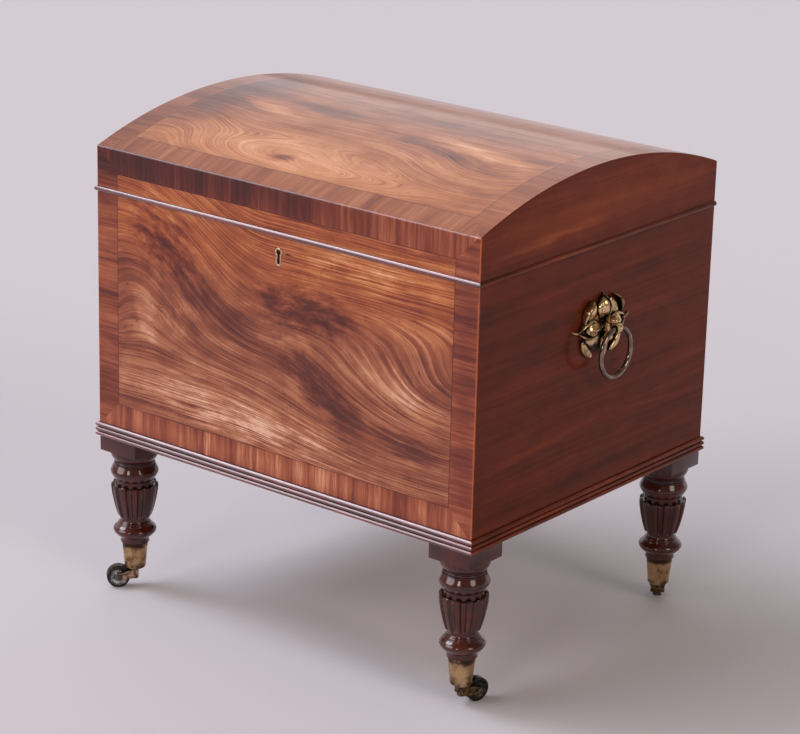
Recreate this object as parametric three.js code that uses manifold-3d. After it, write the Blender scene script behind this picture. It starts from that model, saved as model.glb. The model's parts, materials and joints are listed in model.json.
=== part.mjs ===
import * as THREE from 'three';
import { mergeVertices, toCreasedNormals } from 'three/addons/utils/BufferGeometryUtils.js';
import Module from 'manifold-3d';

// A domed cellarette: a mahogany case for bottles on four turned legs with casters.
// Millimetres, +Z up, the front faces -Y. The origin is on the floor, below the middle of the case.

// Fits and allowances
const seam = 0.3; // gap between two pieces that touch
const runningGap = 0.4; // gap round a piece that slides or turns
const overrun = 2; // how far a cut runs past the face that it opens
const weldDistance = 0.0001;

// The case
const bodyWidth = 610;
const bodyDepth = 488;
const carcassHeight = 310;
const boardThickness = 16;

// The base moulding: three reeds, one above the other
const mouldingHeight = 19;
const mouldingDepth = 26;
const reedCount = 3;
const reedProjection = 3.8;

// The lid
const lidRimHeight = 58.7;
const domeRise = 44;
const domeThickness = 12;
const beadHeight = 6.3;
const beadProjection = 2.8;
const beadDepth = 4;

// The bottle divisions
const dividerThickness = 8;
const dividerHeight = 190;
const cellsAcross = 4;
const cellsDeep = 3;

// The legs
const blockWidth = 63;
const blockHeight = 20;
const blockInset = 0.5;
const turnedHeight = 127.7; // from the cap's rim to the block
const legRadius = 31.4;
const cupGroove = 2.6; // how deep the grooves between the cup's reeds are
const cupReeds = 12;

// The brass leg caps, with the pins that the casters turn on
const capHeight = 38;
const capClearance = 26; // from the floor to the underside of the cap
const capTopRadius = 17.2;
const capFootRadius = 13.9;
const capFlatRadius = 9.5;
const capWall = 1.8;
const capFloor = 4;
const capShoulderHeight = 4;
const pivotRadius = 1.8;
const pivotHeadRadius = 3.2;
const pivotHeadHeight = 1;

// The casters
const wheelRadius = 15.2;
const wheelWidth = 11;
const wheelWebWidth = 6.4;
const wheelHubRadius = 5;
const wheelRimDepth = 3.2;
const treadRounding = 0.9;
const casterTrail = 22.5; // from the swivel's axis to the wheel's axle
const barrelRadius = 4.7;
const barrelHeight = 14;
const bridgeBack = 2.6;
const bridgeReach = 6;
const bridgeDrop = 0.8; // the fork's top edge lies this far below the barrel's top
const forkHeight = 11.6;
const cheekGap = 0.7;
const cheekThickness = 3;
const cheekHubRadius = 4.6;
const axleRadius = 2;
const axleHeadRadius = 3.2;
const axleHeadHeight = 0.9;

// The lock, its bolt and the link on the lid
const lockWidth = 70;
const lockHeight = 48;
const lockDepth = 9;
const lockWall = 1.5;
const boltLength = 24;
const boltHeight = 4.8;
const boltThickness = 2.8;
const boltTravel = 7;
const boltDrop = 6.6; // from the top of the case to the bolt's middle
const boltSetback = 1; // from the bolt's nose to the link when the lock is open
const linkOffset = 9; // from the middle of the case to the link's loop
const linkThickness = 3.4;
const linkWidth = 6;
const linkDrop = 11.5;
const linkPlateLength = 44;
const linkPlateWidth = 9;
const linkPlateThickness = 2;

// The keyhole and its brass escutcheon
const keyholeHeadRadius = 3.4;
const keyholeSlotWidth = 4.2;
const keyholeHeight = 18.4;
const keyholeDrop = 19.5; // from the top of the case to the middle of the keyhole's head
const escutcheonWall = 2.3;
const escutcheonDepth = 3;
const escutcheonProud = 0.2;

// The butt hinges
const hingeLength = 58;
const hingeKnuckles = 3;
const hingeLeafWidth = 15;
const hingeLeafThickness = 1.8;
const hingeInset = 115; // from the end of the case to the middle of the hinge
const hingeOffset = 0.7; // how far the pin's axis lies behind the back of the case
const knuckleRadius = 3;
const hingePinRadius = 1.3;
const hingePinGap = 0.25;

// The ring handles
const plateHalfWidth = 50;
const plateHalfHeight = 43;
const plateEdge = 2.4;
const plateCrown = 7.5;
const handleDrop = 103; // from the top of the case to the middle of the handle's plate
const ringRadius = 31;
const ringThickness = 6;
const ringStandOff = 25.8; // from the end of the case to the plane of the hanging ring
const ringPivotRise = 4; // from the middle of the plate to the ring's pivot
const lugDepth = 32;
const lugWidth = 18;
const lugHeight = 24;
const lugRise = 3; // from the ring's pivot to the middle of the lug
const lugSetback = 8.8; // from the ring's plane to the middle of the lug
const lugBore = 4.7;

// Counts of facets
const domeStations = 20;
const legFacets = 2 * cupReeds;
const capFacets = 18;
const wheelFacets = 20;
const pinFacets = 12;
const ringFacets = 28;
const tubeFacets = 8;
const reedSteps = 6;
const plateLeaves = 8;
const plateFacets = 4 * plateLeaves;
const lugFacets = [16, 10]; // round the lug, and from its back to its front
const arcSteps = 8;

// Each leg's corner, the turn of its reeds, and the way that its caster trails, in degrees from +X
const legs = [
  { name: 'front_left', x: -1, y: -1, reedTurn: 44, casterTurn: 230 },
  { name: 'front_right', x: 1, y: -1, reedTurn: 22, casterTurn: 73 },
  { name: 'back_left', x: -1, y: 1, reedTurn: 8, casterTurn: 200 },
  { name: 'back_right', x: 1, y: 1, reedTurn: 15, casterTurn: 124 },
];

// The turned leg from the block down to the cap: shares of turnedHeight and of legRadius.
// A third number of 1 marks a row that the reeds of the cup run through.
const legTurningShares = [
  [0, 0.968], [0.031, 0.975], [0.078, 0.924], [0.117, 0.828], [0.141, 0.815], [0.164, 0.866],
  [0.195, 0.962], [0.2375, 1], [0.277, 0.968], [0.309, 0.866], [0.324, 0.803], [0.367, 0.79],
  [0.352, 0.879, 0.5], [0.338, 0.92, 1], [0.359, 0.968, 1], [0.391, 0.981, 1], [0.555, 0.841, 1],
  [0.711, 0.694, 0.8], [0.742, 0.602], [0.773, 0.599], [0.809, 0.752], [0.836, 0.86], [0.867, 0.892],
  [0.898, 0.86], [0.934, 0.726], [0.965, 0.599], [0.98, 0.611], [1, 0.605],
];

// The handle's plate: rings from its rim to its middle, as shares of its reach and of its crown
const plateRingShares = [[1, 0], [0.86, 0.45], [0.66, 1], [0.46, 0.8], [0.25, 1]];
const plateLobeShares = { valley: 0.76, leaf: 0.93 };
const plateValleyShare = 0.35;

// Heights above the floor, from the casters up to the top of the dome
const capTop = capClearance + capHeight;
const footShoulder = capTop + seam;
const blockBottom = footShoulder + turnedHeight;
const mouldingBottom = blockBottom + blockHeight;
const caseFloor = mouldingBottom + mouldingHeight;
const caseTop = caseFloor + carcassHeight;
const lidBottom = caseTop + seam;
const arris = lidBottom + lidRimHeight;

// Places that several pieces share
const halfWidth = bodyWidth / 2;
const halfDepth = bodyDepth / 2;
const innerHalfWidth = halfWidth - boardThickness;
const innerHalfDepth = halfDepth - boardThickness;
const legX = halfWidth - blockInset - blockWidth / 2;
const legY = halfDepth - blockInset - blockWidth / 2;
const hingeY = halfDepth + hingeOffset;
const hingeZ = (caseTop + lidBottom) / 2;
const hingeX = halfWidth - hingeInset;
const lockY = -innerHalfDepth - lockDepth / 2;
const boltZ = caseTop - boltDrop;
const keyholeZ = caseTop - keyholeDrop;
const plateZ = caseTop - handleDrop;

const sides = [
  { name: 'front', turn: 0, half: halfWidth, distance: halfDepth },
  { name: 'right', turn: 90, half: halfDepth, distance: halfWidth },
  { name: 'back', turn: 180, half: halfWidth, distance: halfDepth },
  { name: 'left', turn: 270, half: halfDepth, distance: halfWidth },
];

// Finishes
const finish = (color, roughness, metalness = 0) =>
  new THREE.MeshStandardMaterial({ color, roughness, metalness });
const finishes = {
  veneer: finish('#8f4a28', 0.28),
  side: finish('#5a2618', 0.3),
  dark: finish('#3d1a12', 0.22),
  inside: finish('#7a4a2c', 0.6),
  brass: finish('#a5834a', 0.38, 1),
  oldBrass: finish('#6d5f42', 0.42, 1),
  steel: finish('#6f6a62', 0.45, 1),
  wheel: finish('#3a332c', 0.5, 0.6),
};

// Solids from three.js geometry, and back
const wasm = await Module();
wasm.setup();

/** Merges shared vertices and drops the flat triangles at a pole. */
function weld(geometry) {
  const bare = geometry.clone();
  bare.deleteAttribute('normal');
  bare.deleteAttribute('uv');
  const merged = mergeVertices(bare, weldDistance);
  const index = merged.index.array;
  const corners = [];
  for (let i = 0; i < index.length; i += 3) {
    const [a, b, c] = index.slice(i, i + 3);
    if (a !== b && b !== c && c !== a) corners.push(a, b, c);
  }
  merged.setIndex(corners);
  return merged;
}

function solidOf(geometry) {
  const welded = weld(geometry);
  return new wasm.Manifold(new wasm.Mesh({
    numProp: 3,
    vertProperties: new Float32Array(welded.attributes.position.array),
    triVerts: new Uint32Array(welded.index.array),
  }));
}

function geometryOf(solid) {
  const { vertProperties, triVerts } = solid.getMesh();
  const geometry = new THREE.BufferGeometry();
  geometry.setAttribute('position', new THREE.BufferAttribute(new Float32Array(vertProperties), 3));
  geometry.setIndex(new THREE.BufferAttribute(new Uint32Array(triVerts), 1));
  return geometry;
}

/** Joins the first geometry with the ones in plus, then takes those in minus away. */
function carve(base, { plus = [], minus = [] }) {
  const joined = plus.reduce((whole, piece) => whole.add(solidOf(piece)), solidOf(base));
  return geometryOf(minus.reduce((whole, piece) => whole.subtract(solidOf(piece)), joined));
}

function overlapOf(first, second) {
  return geometryOf(solidOf(first).intersect(solidOf(second)));
}

// Basic shapes
const basis = {
  x: new THREE.Matrix4().makeBasis(
    new THREE.Vector3(0, 1, 0), new THREE.Vector3(0, 0, 1), new THREE.Vector3(1, 0, 0)),
  y: new THREE.Matrix4().makeBasis(
    new THREE.Vector3(1, 0, 0), new THREE.Vector3(0, 0, 1), new THREE.Vector3(0, -1, 0)),
  z: new THREE.Matrix4(),
};

/** Carries an outline from low to high: (y, z) along x, (x, z) along y, or (x, y) along z. */
function prism(outline, low, high, along) {
  const shape = Array.isArray(outline)
    ? new THREE.Shape(outline.map(([u, v]) => new THREE.Vector2(u, v)))
    : outline;
  const geometry = new THREE.ExtrudeGeometry(shape, {
    depth: high - low, bevelEnabled: false, curveSegments: arcSteps,
  });
  geometry.translate(0, 0, along === 'y' ? -high : low);
  return geometry.applyMatrix4(basis[along]);
}

/** The two ends of a width about its middle, each moved outwards by a gap. */
function around(middle, width, gap = 0) {
  return [middle - width / 2 - gap, middle + width / 2 + gap];
}

function block([x0, x1], [y0, y1], [z0, z1]) {
  const geometry = new THREE.BoxGeometry(x1 - x0, y1 - y0, z1 - z0);
  return geometry.translate((x0 + x1) / 2, (y0 + y1) / 2, (z0 + z1) / 2);
}

/** Turns a profile of [radius, height] about the z axis. */
function turned(profile, facets) {
  const points = profile.map(([r, z]) => new THREE.Vector2(r, z));
  return new THREE.LatheGeometry(points, facets).rotateX(Math.PI / 2);
}

/** A closed skin over rings of points, with a fan from one point at each end. */
function skin(rings, first, last) {
  const count = rings[0].length;
  const points = [first, ...rings.flat(), last];
  const at = (ring, j) => 1 + ring * count + (j % count);
  const end = points.length - 1;
  const corners = [];
  for (let j = 0; j < count; j += 1) {
    corners.push(0, at(0, j + 1), at(0, j));
    for (let ring = 0; ring + 1 < rings.length; ring += 1) {
      corners.push(at(ring, j), at(ring, j + 1), at(ring + 1, j + 1));
      corners.push(at(ring, j), at(ring + 1, j + 1), at(ring + 1, j));
    }
    corners.push(end, at(rings.length - 1, j), at(rings.length - 1, j + 1));
  }
  const geometry = new THREE.BufferGeometry().setFromPoints(points);
  geometry.setIndex(corners);
  return geometry;
}

// The assembly
const cellarette = new THREE.Group();
const creaseAngle = THREE.MathUtils.degToRad(34);

function add(name, geometry, material, place = {}) {
  const mesh = new THREE.Mesh(toCreasedNormals(weld(geometry), creaseAngle), material);
  mesh.name = name;
  mesh.position.set(place.x ?? 0, place.y ?? 0, place.z ?? 0);
  mesh.rotation.z = THREE.MathUtils.degToRad(place.turn ?? 0);
  cellarette.add(mesh);
}

// Mitred frames. Each side is built as the front one, then turned about z.

/** The plan of one side between its mitres. An end that isn't mitred is cut off square. */
function mitrePlan({ half, distance }, depth, { low = true, high = true } = {}) {
  const edge = (at, mitre) => (mitre ? half + at - seam * Math.SQRT1_2 : half);
  return [
    [-edge(overrun + reedProjection, low), -distance - overrun - reedProjection],
    [edge(overrun + reedProjection, high), -distance - overrun - reedProjection],
    [edge(-depth, high), -distance + depth],
    [-edge(-depth, low), -distance + depth],
  ];
}

/** A bar with its section in [depth inwards from the outer face, height], mitred at its ends. */
function mitredBar(side, section, depth, ends) {
  const reach = side.half + overrun + reedProjection;
  const bar = prism(section.map(([d, z]) => [d - side.distance, z]), -reach, reach, 'x');
  const heights = section.map(([, z]) => z);
  const [low, high] = [Math.min(...heights) - overrun, Math.max(...heights) + overrun];
  return overlapOf(bar, prism(mitrePlan(side, depth, ends), low, high, 'z'));
}

/** The points of a half-round nose from its lower edge to its upper one. */
function nose(low, high, projection) {
  const points = [];
  for (let i = 0; i <= reedSteps; i += 1) {
    const angle = (Math.PI * i) / reedSteps;
    points.push([-projection * Math.sin(angle), (low + high) / 2 - ((high - low) / 2) * Math.cos(angle)]);
  }
  return points;
}

// The base: reeded mouldings round a bottom board
function baseMouldingSection() {
  const pitch = mouldingHeight / reedCount;
  const reeds = [];
  for (let i = 0; i < reedCount; i += 1) {
    const low = mouldingBottom + i * pitch;
    reeds.push(...nose(low, low + pitch, reedProjection).slice(i ? 1 : 0));
  }
  return [[mouldingDepth, mouldingBottom], ...reeds, [mouldingDepth, caseFloor]];
}
for (const side of sides) {
  const section = baseMouldingSection();
  add(`base_moulding_${side.name}`, mitredBar(side, section, mouldingDepth), finishes.dark, side);
}
const boardReach = [halfWidth, halfDepth].map((half) => half - mouldingDepth - seam);
add('bottom_board', block(
  [-boardReach[0], boardReach[0]], [-boardReach[1], boardReach[1]], [mouldingBottom, caseFloor],
), finishes.inside);

// The keyhole, as an outline in (x, z) that can be made larger all round
function keyholeOutline(grow) {
  const head = keyholeHeadRadius + grow;
  const slot = keyholeSlotWidth / 2 + grow;
  const foot = keyholeZ + keyholeHeadRadius - keyholeHeight + keyholeSlotWidth / 2;
  const start = Math.acos(slot / head);
  const shape = new THREE.Shape();
  shape.moveTo(slot, keyholeZ - head * Math.sin(start));
  shape.absarc(0, keyholeZ, head, -start, Math.PI + start, false);
  shape.lineTo(-slot, foot);
  shape.absarc(0, foot, slot, Math.PI, 2 * Math.PI, false);
  shape.closePath();
  return shape;
}

// The case's four panels
const panelSection = [
  [0, caseFloor + seam], [boardThickness, caseFloor + seam], [boardThickness, caseTop], [0, caseTop],
];
const lockFace = -innerHalfDepth - lockDepth;
const escutcheonFace = [-halfDepth - escutcheonProud, -halfDepth + escutcheonDepth];

/** The two ends of a height that starts at a face and goes up (way 1) or down (way -1). */
function fromFace(face, height, way, before = 0) {
  const ends = [face - way * before, face + way * height];
  return way > 0 ? ends : ends.toReversed();
}

/** What the hinges take out of the board above them (way 1) or below them (way -1), as a back side. */
function hingeRecesses(way) {
  const face = way > 0 ? lidBottom : caseTop;
  const room = knuckleRadius + runningGap;
  return [-hingeX, hingeX].flatMap((x) => {
    const length = around(x, hingeLength, seam);
    const leaf = block(
      length, [hingeY - hingeLeafWidth - seam, hingeY + overrun],
      fromFace(face, hingeLeafThickness + seam, way, overrun));
    const knuckle = block(length, [hingeY - room, hingeY + room], [hingeZ - room, hingeZ + room]);
    return [leaf, knuckle].map((cut) => cut.rotateZ(-Math.PI));
  });
}

const panels = {
  front: {
    name: 'front_panel',
    material: finishes.veneer,
    cuts: [
      prism(
        keyholeOutline(escutcheonWall + seam), escutcheonFace[0] - overrun, escutcheonFace[1] + seam, 'y'),
      prism(keyholeOutline(0), escutcheonFace[1], lockFace, 'y'),
      block(
        around(0, lockWidth, seam), [lockFace - seam, -innerHalfDepth + overrun],
        [caseTop - lockHeight - seam, caseTop + overrun]),
    ],
  },
  right: { name: 'right_side_panel', material: finishes.side, cuts: [] },
  back: { name: 'back_panel', material: finishes.side, cuts: hingeRecesses(-1) },
  left: { name: 'left_side_panel', material: finishes.side, cuts: [] },
};
for (const side of sides) {
  const { name, material, cuts } = panels[side.name];
  add(name, carve(mitredBar(side, panelSection, boardThickness), { minus: cuts }), material, side);
}

const escutcheon = keyholeOutline(escutcheonWall);
escutcheon.holes.push(new THREE.Path(keyholeOutline(0).getPoints(arcSteps)));
add('keyhole_escutcheon', prism(escutcheon, ...escutcheonFace, 'y'), finishes.brass);

// The lock: a case with a slot for the link and a channel for the bolt
const boltNose = linkOffset - linkThickness / 2 - boltSetback;
add('lock_case', carve(
  block(around(0, lockWidth), [lockFace, -innerHalfDepth], [caseTop - lockHeight, caseTop]),
  {
    minus: [
      block(
        around(linkOffset, linkThickness, runningGap), around(lockY, linkWidth, runningGap),
        [lidBottom - linkDrop - runningGap, caseTop + overrun],
      ),
      block(
        [boltNose - boltLength - runningGap, boltNose + boltTravel + runningGap],
        around(lockY, boltThickness, seam), around(boltZ, boltHeight, seam),
      ),
      prism(keyholeOutline(0), lockFace - overrun, -innerHalfDepth - lockWall, 'y'),
    ],
  },
), finishes.steel);
add('lock_bolt', block(
  [boltNose - boltLength, boltNose], around(lockY, boltThickness), around(boltZ, boltHeight),
), finishes.steel);

// The bottle divisions, halved together
const dividerBottom = caseFloor + seam;
const dividerTop = dividerBottom + dividerHeight;
const dividerMiddle = (dividerBottom + dividerTop) / 2;
function linesBetween(innerHalf, cells) {
  return Array.from({ length: cells - 1 }, (_, i) => -innerHalf + (2 * innerHalf * (i + 1)) / cells);
}
const acrossLines = linesBetween(innerHalfWidth, cellsAcross);
const deepLines = linesBetween(innerHalfDepth, cellsDeep);
acrossLines.forEach((x, i) => {
  const notches = deepLines.map((y) => block(
    around(x, dividerThickness, overrun), around(y, dividerThickness, seam),
    [dividerMiddle - seam / 2, dividerTop + overrun],
  ));
  add(`cross_divider_${i + 1}`, carve(block(
    around(x, dividerThickness), [-innerHalfDepth + seam, innerHalfDepth - seam], [dividerBottom, dividerTop],
  ), { minus: notches }), finishes.inside);
});
deepLines.forEach((y, i) => {
  const notches = acrossLines.map((x) => block(
    around(x, dividerThickness, seam), around(y, dividerThickness, overrun),
    [dividerBottom - overrun, dividerMiddle + seam / 2],
  ));
  add(`long_divider_${i + 1}`, carve(block(
    [-innerHalfWidth + seam, innerHalfWidth - seam], around(y, dividerThickness), [dividerBottom, dividerTop],
  ), { minus: notches }), finishes.inside);
});

// The lid's dome, an arc of a circle from the front arris to the back one
const domeRadius = (halfDepth ** 2 + domeRise ** 2) / (2 * domeRise);
const domeCentre = arris + domeRise - domeRadius;
const stations = Array.from({ length: domeStations + 1 }, (_, i) => halfDepth * ((2 * i) / domeStations - 1));
const arcHeight = (radius, y) => domeCentre + Math.sqrt(radius ** 2 - y ** 2);
const undersideStations = stations.map((y) => [y, arcHeight(domeRadius - domeThickness, y)]);

/** The height of the dome's faceted underside. */
function undersideAt(y) {
  const station = (domeStations * (y + halfDepth)) / bodyDepth;
  const i = Math.floor(station);
  return THREE.MathUtils.lerp(undersideStations[i][1], undersideStations[i + 1][1], station - i);
}
add('lid_dome', prism([
  ...stations.map((y) => [y, arcHeight(domeRadius, y)]), ...undersideStations.toReversed(),
], -halfWidth, halfWidth, 'x'), finishes.veneer);

// The lid's rim: front and back rails, two arched ends, and beads round three sides
const rebate = [[-overrun, beadDepth + seam], [lidBottom - overrun, lidBottom + beadHeight + seam]];
const railTop = (depth) => undersideAt(depth - halfDepth) - seam;
const railSection = [
  [0, lidBottom], [boardThickness, lidBottom], [boardThickness, railTop(boardThickness)], [0, railTop(0)],
];
const endOutline = [
  [-halfDepth, lidBottom], [halfDepth, lidBottom],
  ...undersideStations.toReversed().map(([y, z]) => [y, z - seam]),
];
function rebateBar(side) {
  const [[d0, d1], [z0, z1]] = rebate;
  const reach = side.half + overrun;
  return block([-reach, reach], [d0 - side.distance, d1 - side.distance], [z0, z1]);
}
const linkRecess = block(
  around(0, linkPlateLength, seam), around(lockY, linkPlateWidth, seam),
  [lidBottom - overrun, lidBottom + linkPlateThickness + seam],
);
const [frontSide, rightSide, backSide, leftSide] = sides;
add('lid_front_rail', carve(mitredBar(frontSide, railSection, boardThickness), {
  minus: [rebateBar(frontSide), linkRecess],
}), finishes.veneer);

const backBeadRooms = [-halfWidth, halfWidth].map((x) => block(
  around(x, 2 * beadDepth, seam), [-halfDepth - overrun, -halfDepth + boardThickness + overrun], rebate[1],
));
add('lid_back_rail', carve(mitredBar(backSide, railSection, boardThickness), {
  minus: [...hingeRecesses(1), ...backBeadRooms],
}), finishes.side, backSide);

for (const side of [leftSide, rightSide]) {
  const board = prism(endOutline, -side.distance, -side.distance + boardThickness, 'y');
  const plan = prism(mitrePlan(side, boardThickness), lidBottom - overrun, arris + domeRise, 'z');
  const end = carve(overlapOf(board, plan), { minus: [rebateBar(side)] });
  add(`lid_${side.name}_end`, end, finishes.side, side);
}

const beadSection = [
  [beadDepth, lidBottom], ...nose(lidBottom, lidBottom + beadHeight, beadProjection),
  [beadDepth, lidBottom + beadHeight],
];
const beadEnds = { front: {}, right: { high: false }, left: { low: false } };
for (const side of [frontSide, rightSide, leftSide]) {
  const bead = mitredBar(side, beadSection, beadDepth, beadEnds[side.name]);
  add(`lid_bead_${side.name}`, bead, finishes.dark, side);
}

const linkEye = block(
  around(linkOffset, linkThickness, overrun), around(lockY, boltThickness, runningGap),
  around(boltZ, boltHeight, runningGap),
);
add('lock_link_plate', carve(block(
  around(0, linkPlateLength), around(lockY, linkPlateWidth), [lidBottom, lidBottom + linkPlateThickness],
), {
  plus: [block(
    around(linkOffset, linkThickness), around(lockY, linkWidth),
    [lidBottom - linkDrop, lidBottom + linkPlateThickness],
  )],
  minus: [linkEye],
}), finishes.steel);

// The hinges: the case leaf has the two outer knuckles, the lid leaf the middle one
const knuckleLength = hingeLength / hingeKnuckles;

/** A round bar on the hinges' axis. */
function barAlongX(radius, [x0, x1]) {
  const geometry = new THREE.CylinderGeometry(radius, radius, x1 - x0, pinFacets);
  return geometry.rotateZ(Math.PI / 2).translate((x0 + x1) / 2, hingeY, hingeZ);
}

/** One leaf with its knuckles: way 1 is the lid's, way -1 the case's. */
function hingeLeaf(x, way) {
  const face = way > 0 ? lidBottom : caseTop;
  const leaf = block(
    around(x, hingeLength), [hingeY - hingeLeafWidth, hingeY], fromFace(face, hingeLeafThickness, way));
  const middles = Array.from(
    { length: hingeKnuckles }, (_, i) => x + (i - (hingeKnuckles - 1) / 2) * knuckleLength);
  const own = middles.filter((_, i) => (i % 2 === 1) === (way > 0));
  const others = middles.filter((middle) => !own.includes(middle));
  const room = knuckleRadius + runningGap;
  const cutBack = carve(leaf, {
    minus: others.map((middle) => block(
      around(middle, knuckleLength, runningGap / 2), [hingeY - room, hingeY + room],
      [hingeZ - room, hingeZ + room])),
  });
  return carve(cutBack, {
    plus: own.map((middle) => barAlongX(knuckleRadius, around(middle, knuckleLength, -runningGap / 2))),
    minus: [barAlongX(hingePinRadius + hingePinGap, around(x, hingeLength, overrun))],
  });
}
for (const [name, x] of [['left', -hingeX], ['right', hingeX]]) {
  add(`hinge_case_leaf_${name}`, hingeLeaf(x, -1), finishes.brass);
  add(`hinge_lid_leaf_${name}`, hingeLeaf(x, 1), finishes.brass);
  add(`hinge_pin_${name}`, barAlongX(hingePinRadius, around(x, hingeLength)), finishes.steel);
}

// The handles: a cast plate of eight leaves with a lug, and the ring that hangs in it

/** One full wave for each pair of leaves: 1 at the pointed ones, -1 at the broad ones between them. */
function plateWave(angle) {
  return Math.cos((plateLeaves / 2) * angle);
}

/** How far the plate's outline reaches at an angle: points on the axes, broad leaves between them. */
function plateReachShare(angle) {
  const wave = plateWave(angle);
  const top = wave > 0 ? 1 : plateLobeShares.leaf;
  const swell = wave > 0 ? wave ** 2 : Math.sqrt(-wave);
  return plateLobeShares.valley + (top - plateLobeShares.valley) * swell;
}
function plateRing(reachShare, crownShare) {
  return Array.from({ length: plateFacets }, (_, j) => {
    const angle = (2 * Math.PI * j) / plateFacets;
    const share = reachShare * plateReachShare(angle);
    const ridge = 1 - plateValleyShare * (1 - Math.abs(plateWave(angle)));
    return new THREE.Vector3(
      plateHalfWidth * share * Math.cos(angle), plateHalfHeight * share * Math.sin(angle),
      plateEdge + plateCrown * crownShare * ridge,
    );
  });
}
const plateRings = plateRingShares.map(([reach, crown]) => plateRing(reach, crown));
const plateBack = plateRings[0].map((point) => point.clone().setZ(0));
const plateMiddle = new THREE.Vector3(0, 0, plateEdge + plateCrown);
const plateSkin = skin([plateBack, ...plateRings], new THREE.Vector3(), plateMiddle);
const lug = new THREE.SphereGeometry(1, ...lugFacets)
  .scale(lugWidth / 2, lugHeight / 2, lugDepth / 2)
  .translate(0, ringPivotRise + lugRise, ringStandOff - seam - lugSetback);
const lugRoom = block(
  [-plateHalfWidth, plateHalfWidth], [-plateHalfHeight, plateHalfHeight], [-lugDepth, 0]);
const lugHole = new THREE.CylinderGeometry(lugBore, lugBore, lugWidth + overrun, pinFacets)
  .rotateZ(Math.PI / 2)
  .translate(0, ringPivotRise, ringStandOff - seam);
const handlePlate = carve(plateSkin, { plus: [lug], minus: [lugRoom, lugHole] })
  .applyMatrix4(basis.x)
  .translate(halfWidth + seam, 0, plateZ);
const ring = new THREE.TorusGeometry(ringRadius, ringThickness / 2, tubeFacets, ringFacets)
  .applyMatrix4(basis.x)
  .translate(halfWidth + ringStandOff, 0, plateZ + ringPivotRise - ringRadius);
for (const side of [leftSide, rightSide]) {
  const place = { turn: side.turn - 90 };
  add(`handle_plate_${side.name}`, handlePlate, finishes.oldBrass, place);
  add(`handle_ring_${side.name}`, ring, finishes.oldBrass, place);
}

// The legs: a square block with the turned and reeded leg below it, and a foot inside the cap
const capInside = (z) => {
  const share = (z - capClearance - capShoulderHeight) / (capHeight - capShoulderHeight);
  return capFootRadius + (capTopRadius - capFootRadius) * share - capWall;
};
function legShape(reedTurn) {
  const rows = legTurningShares.toReversed().map(([down, out, reed = 0]) => ({
    z: blockBottom - down * turnedHeight, radius: out * legRadius, reed,
  }));
  const footBottom = capClearance + capFloor + seam;
  rows.unshift(
    { z: footBottom, radius: capInside(footBottom) - seam, reed: 0 },
    { z: footShoulder, radius: capInside(capTop) - seam, reed: 0 },
  );
  rows.push({ z: blockBottom + overrun, radius: rows.at(-1).radius, reed: 0 });
  const rings = rows.map(({ z, radius, reed }) => Array.from({ length: legFacets }, (_, j) => {
    const angle = THREE.MathUtils.degToRad(reedTurn) + (2 * Math.PI * j) / legFacets;
    const r = radius - (j % 2 ? cupGroove * reed : 0);
    return new THREE.Vector3(r * Math.cos(angle), r * Math.sin(angle), z);
  }));
  const turnedLeg = skin(
    rings, new THREE.Vector3(0, 0, rows[0].z), new THREE.Vector3(0, 0, rows.at(-1).z));
  const square = around(0, blockWidth);
  return carve(block(square, square, [blockBottom, mouldingBottom - seam]), { plus: [turnedLeg] });
}

// The cap: a tapered cup, with the pin that the caster turns on riveted below it
const barrelTop = capClearance - seam;
const barrelBottom = barrelTop - barrelHeight;
const pivotEnd = barrelBottom - seam - pivotHeadHeight;
const capShape = turned([
  [0, pivotEnd], [pivotHeadRadius, pivotEnd], [pivotHeadRadius, pivotEnd + pivotHeadHeight],
  [pivotRadius, pivotEnd + pivotHeadHeight], [pivotRadius, capClearance], [capFlatRadius, capClearance],
  [(capFlatRadius + capFootRadius) / 2, capClearance + capShoulderHeight / 4],
  [capFootRadius, capClearance + capShoulderHeight], [capTopRadius, capTop],
  [capInside(capTop), capTop], [capInside(capClearance + capFloor), capClearance + capFloor],
  [0, capClearance + capFloor],
], capFacets);

// The caster: a horn that swivels on the pin, an axle, and a wheel. Its trail runs along +x.
const cheekInner = wheelWidth / 2 + cheekGap;
const cheekOuter = cheekInner + cheekThickness;
const forkTop = barrelTop - bridgeDrop;
function cheekOutline() {
  const shape = new THREE.Shape();
  shape.moveTo(0, forkTop - forkHeight);
  shape.lineTo(casterTrail, wheelRadius - cheekHubRadius);
  shape.absarc(casterTrail, wheelRadius, cheekHubRadius, -Math.PI / 2, Math.PI / 2, false);
  shape.lineTo(bridgeReach, forkTop);
  shape.lineTo(0, forkTop);
  shape.closePath();
  return shape;
}
/** A round bar along y at the wheel's axle. */
function barAtAxle(radius, y0, y1) {
  const geometry = new THREE.CylinderGeometry(radius, radius, y1 - y0, pinFacets);
  return geometry.translate(casterTrail, (y0 + y1) / 2, wheelRadius);
}
const hornBore = new THREE.CylinderGeometry(
  pivotRadius + seam, pivotRadius + seam, barrelHeight + overrun, pinFacets)
  .rotateX(Math.PI / 2).translate(0, 0, (barrelTop + barrelBottom) / 2);
const hornShape = carve(
  new THREE.CylinderGeometry(barrelRadius, barrelRadius, barrelHeight, capFacets)
    .rotateX(Math.PI / 2).translate(0, 0, (barrelTop + barrelBottom) / 2),
  {
    plus: [
      block([-bridgeBack, bridgeReach], [-cheekOuter, cheekOuter], [forkTop - forkHeight, forkTop]),
      prism(cheekOutline(), cheekInner, cheekOuter, 'y'),
      prism(cheekOutline(), -cheekOuter, -cheekInner, 'y'),
    ],
    minus: [hornBore, barAtAxle(axleRadius + seam, -cheekOuter - overrun, cheekOuter + overrun)],
  },
);
const axleEnd = cheekOuter + seam + axleHeadHeight;
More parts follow.
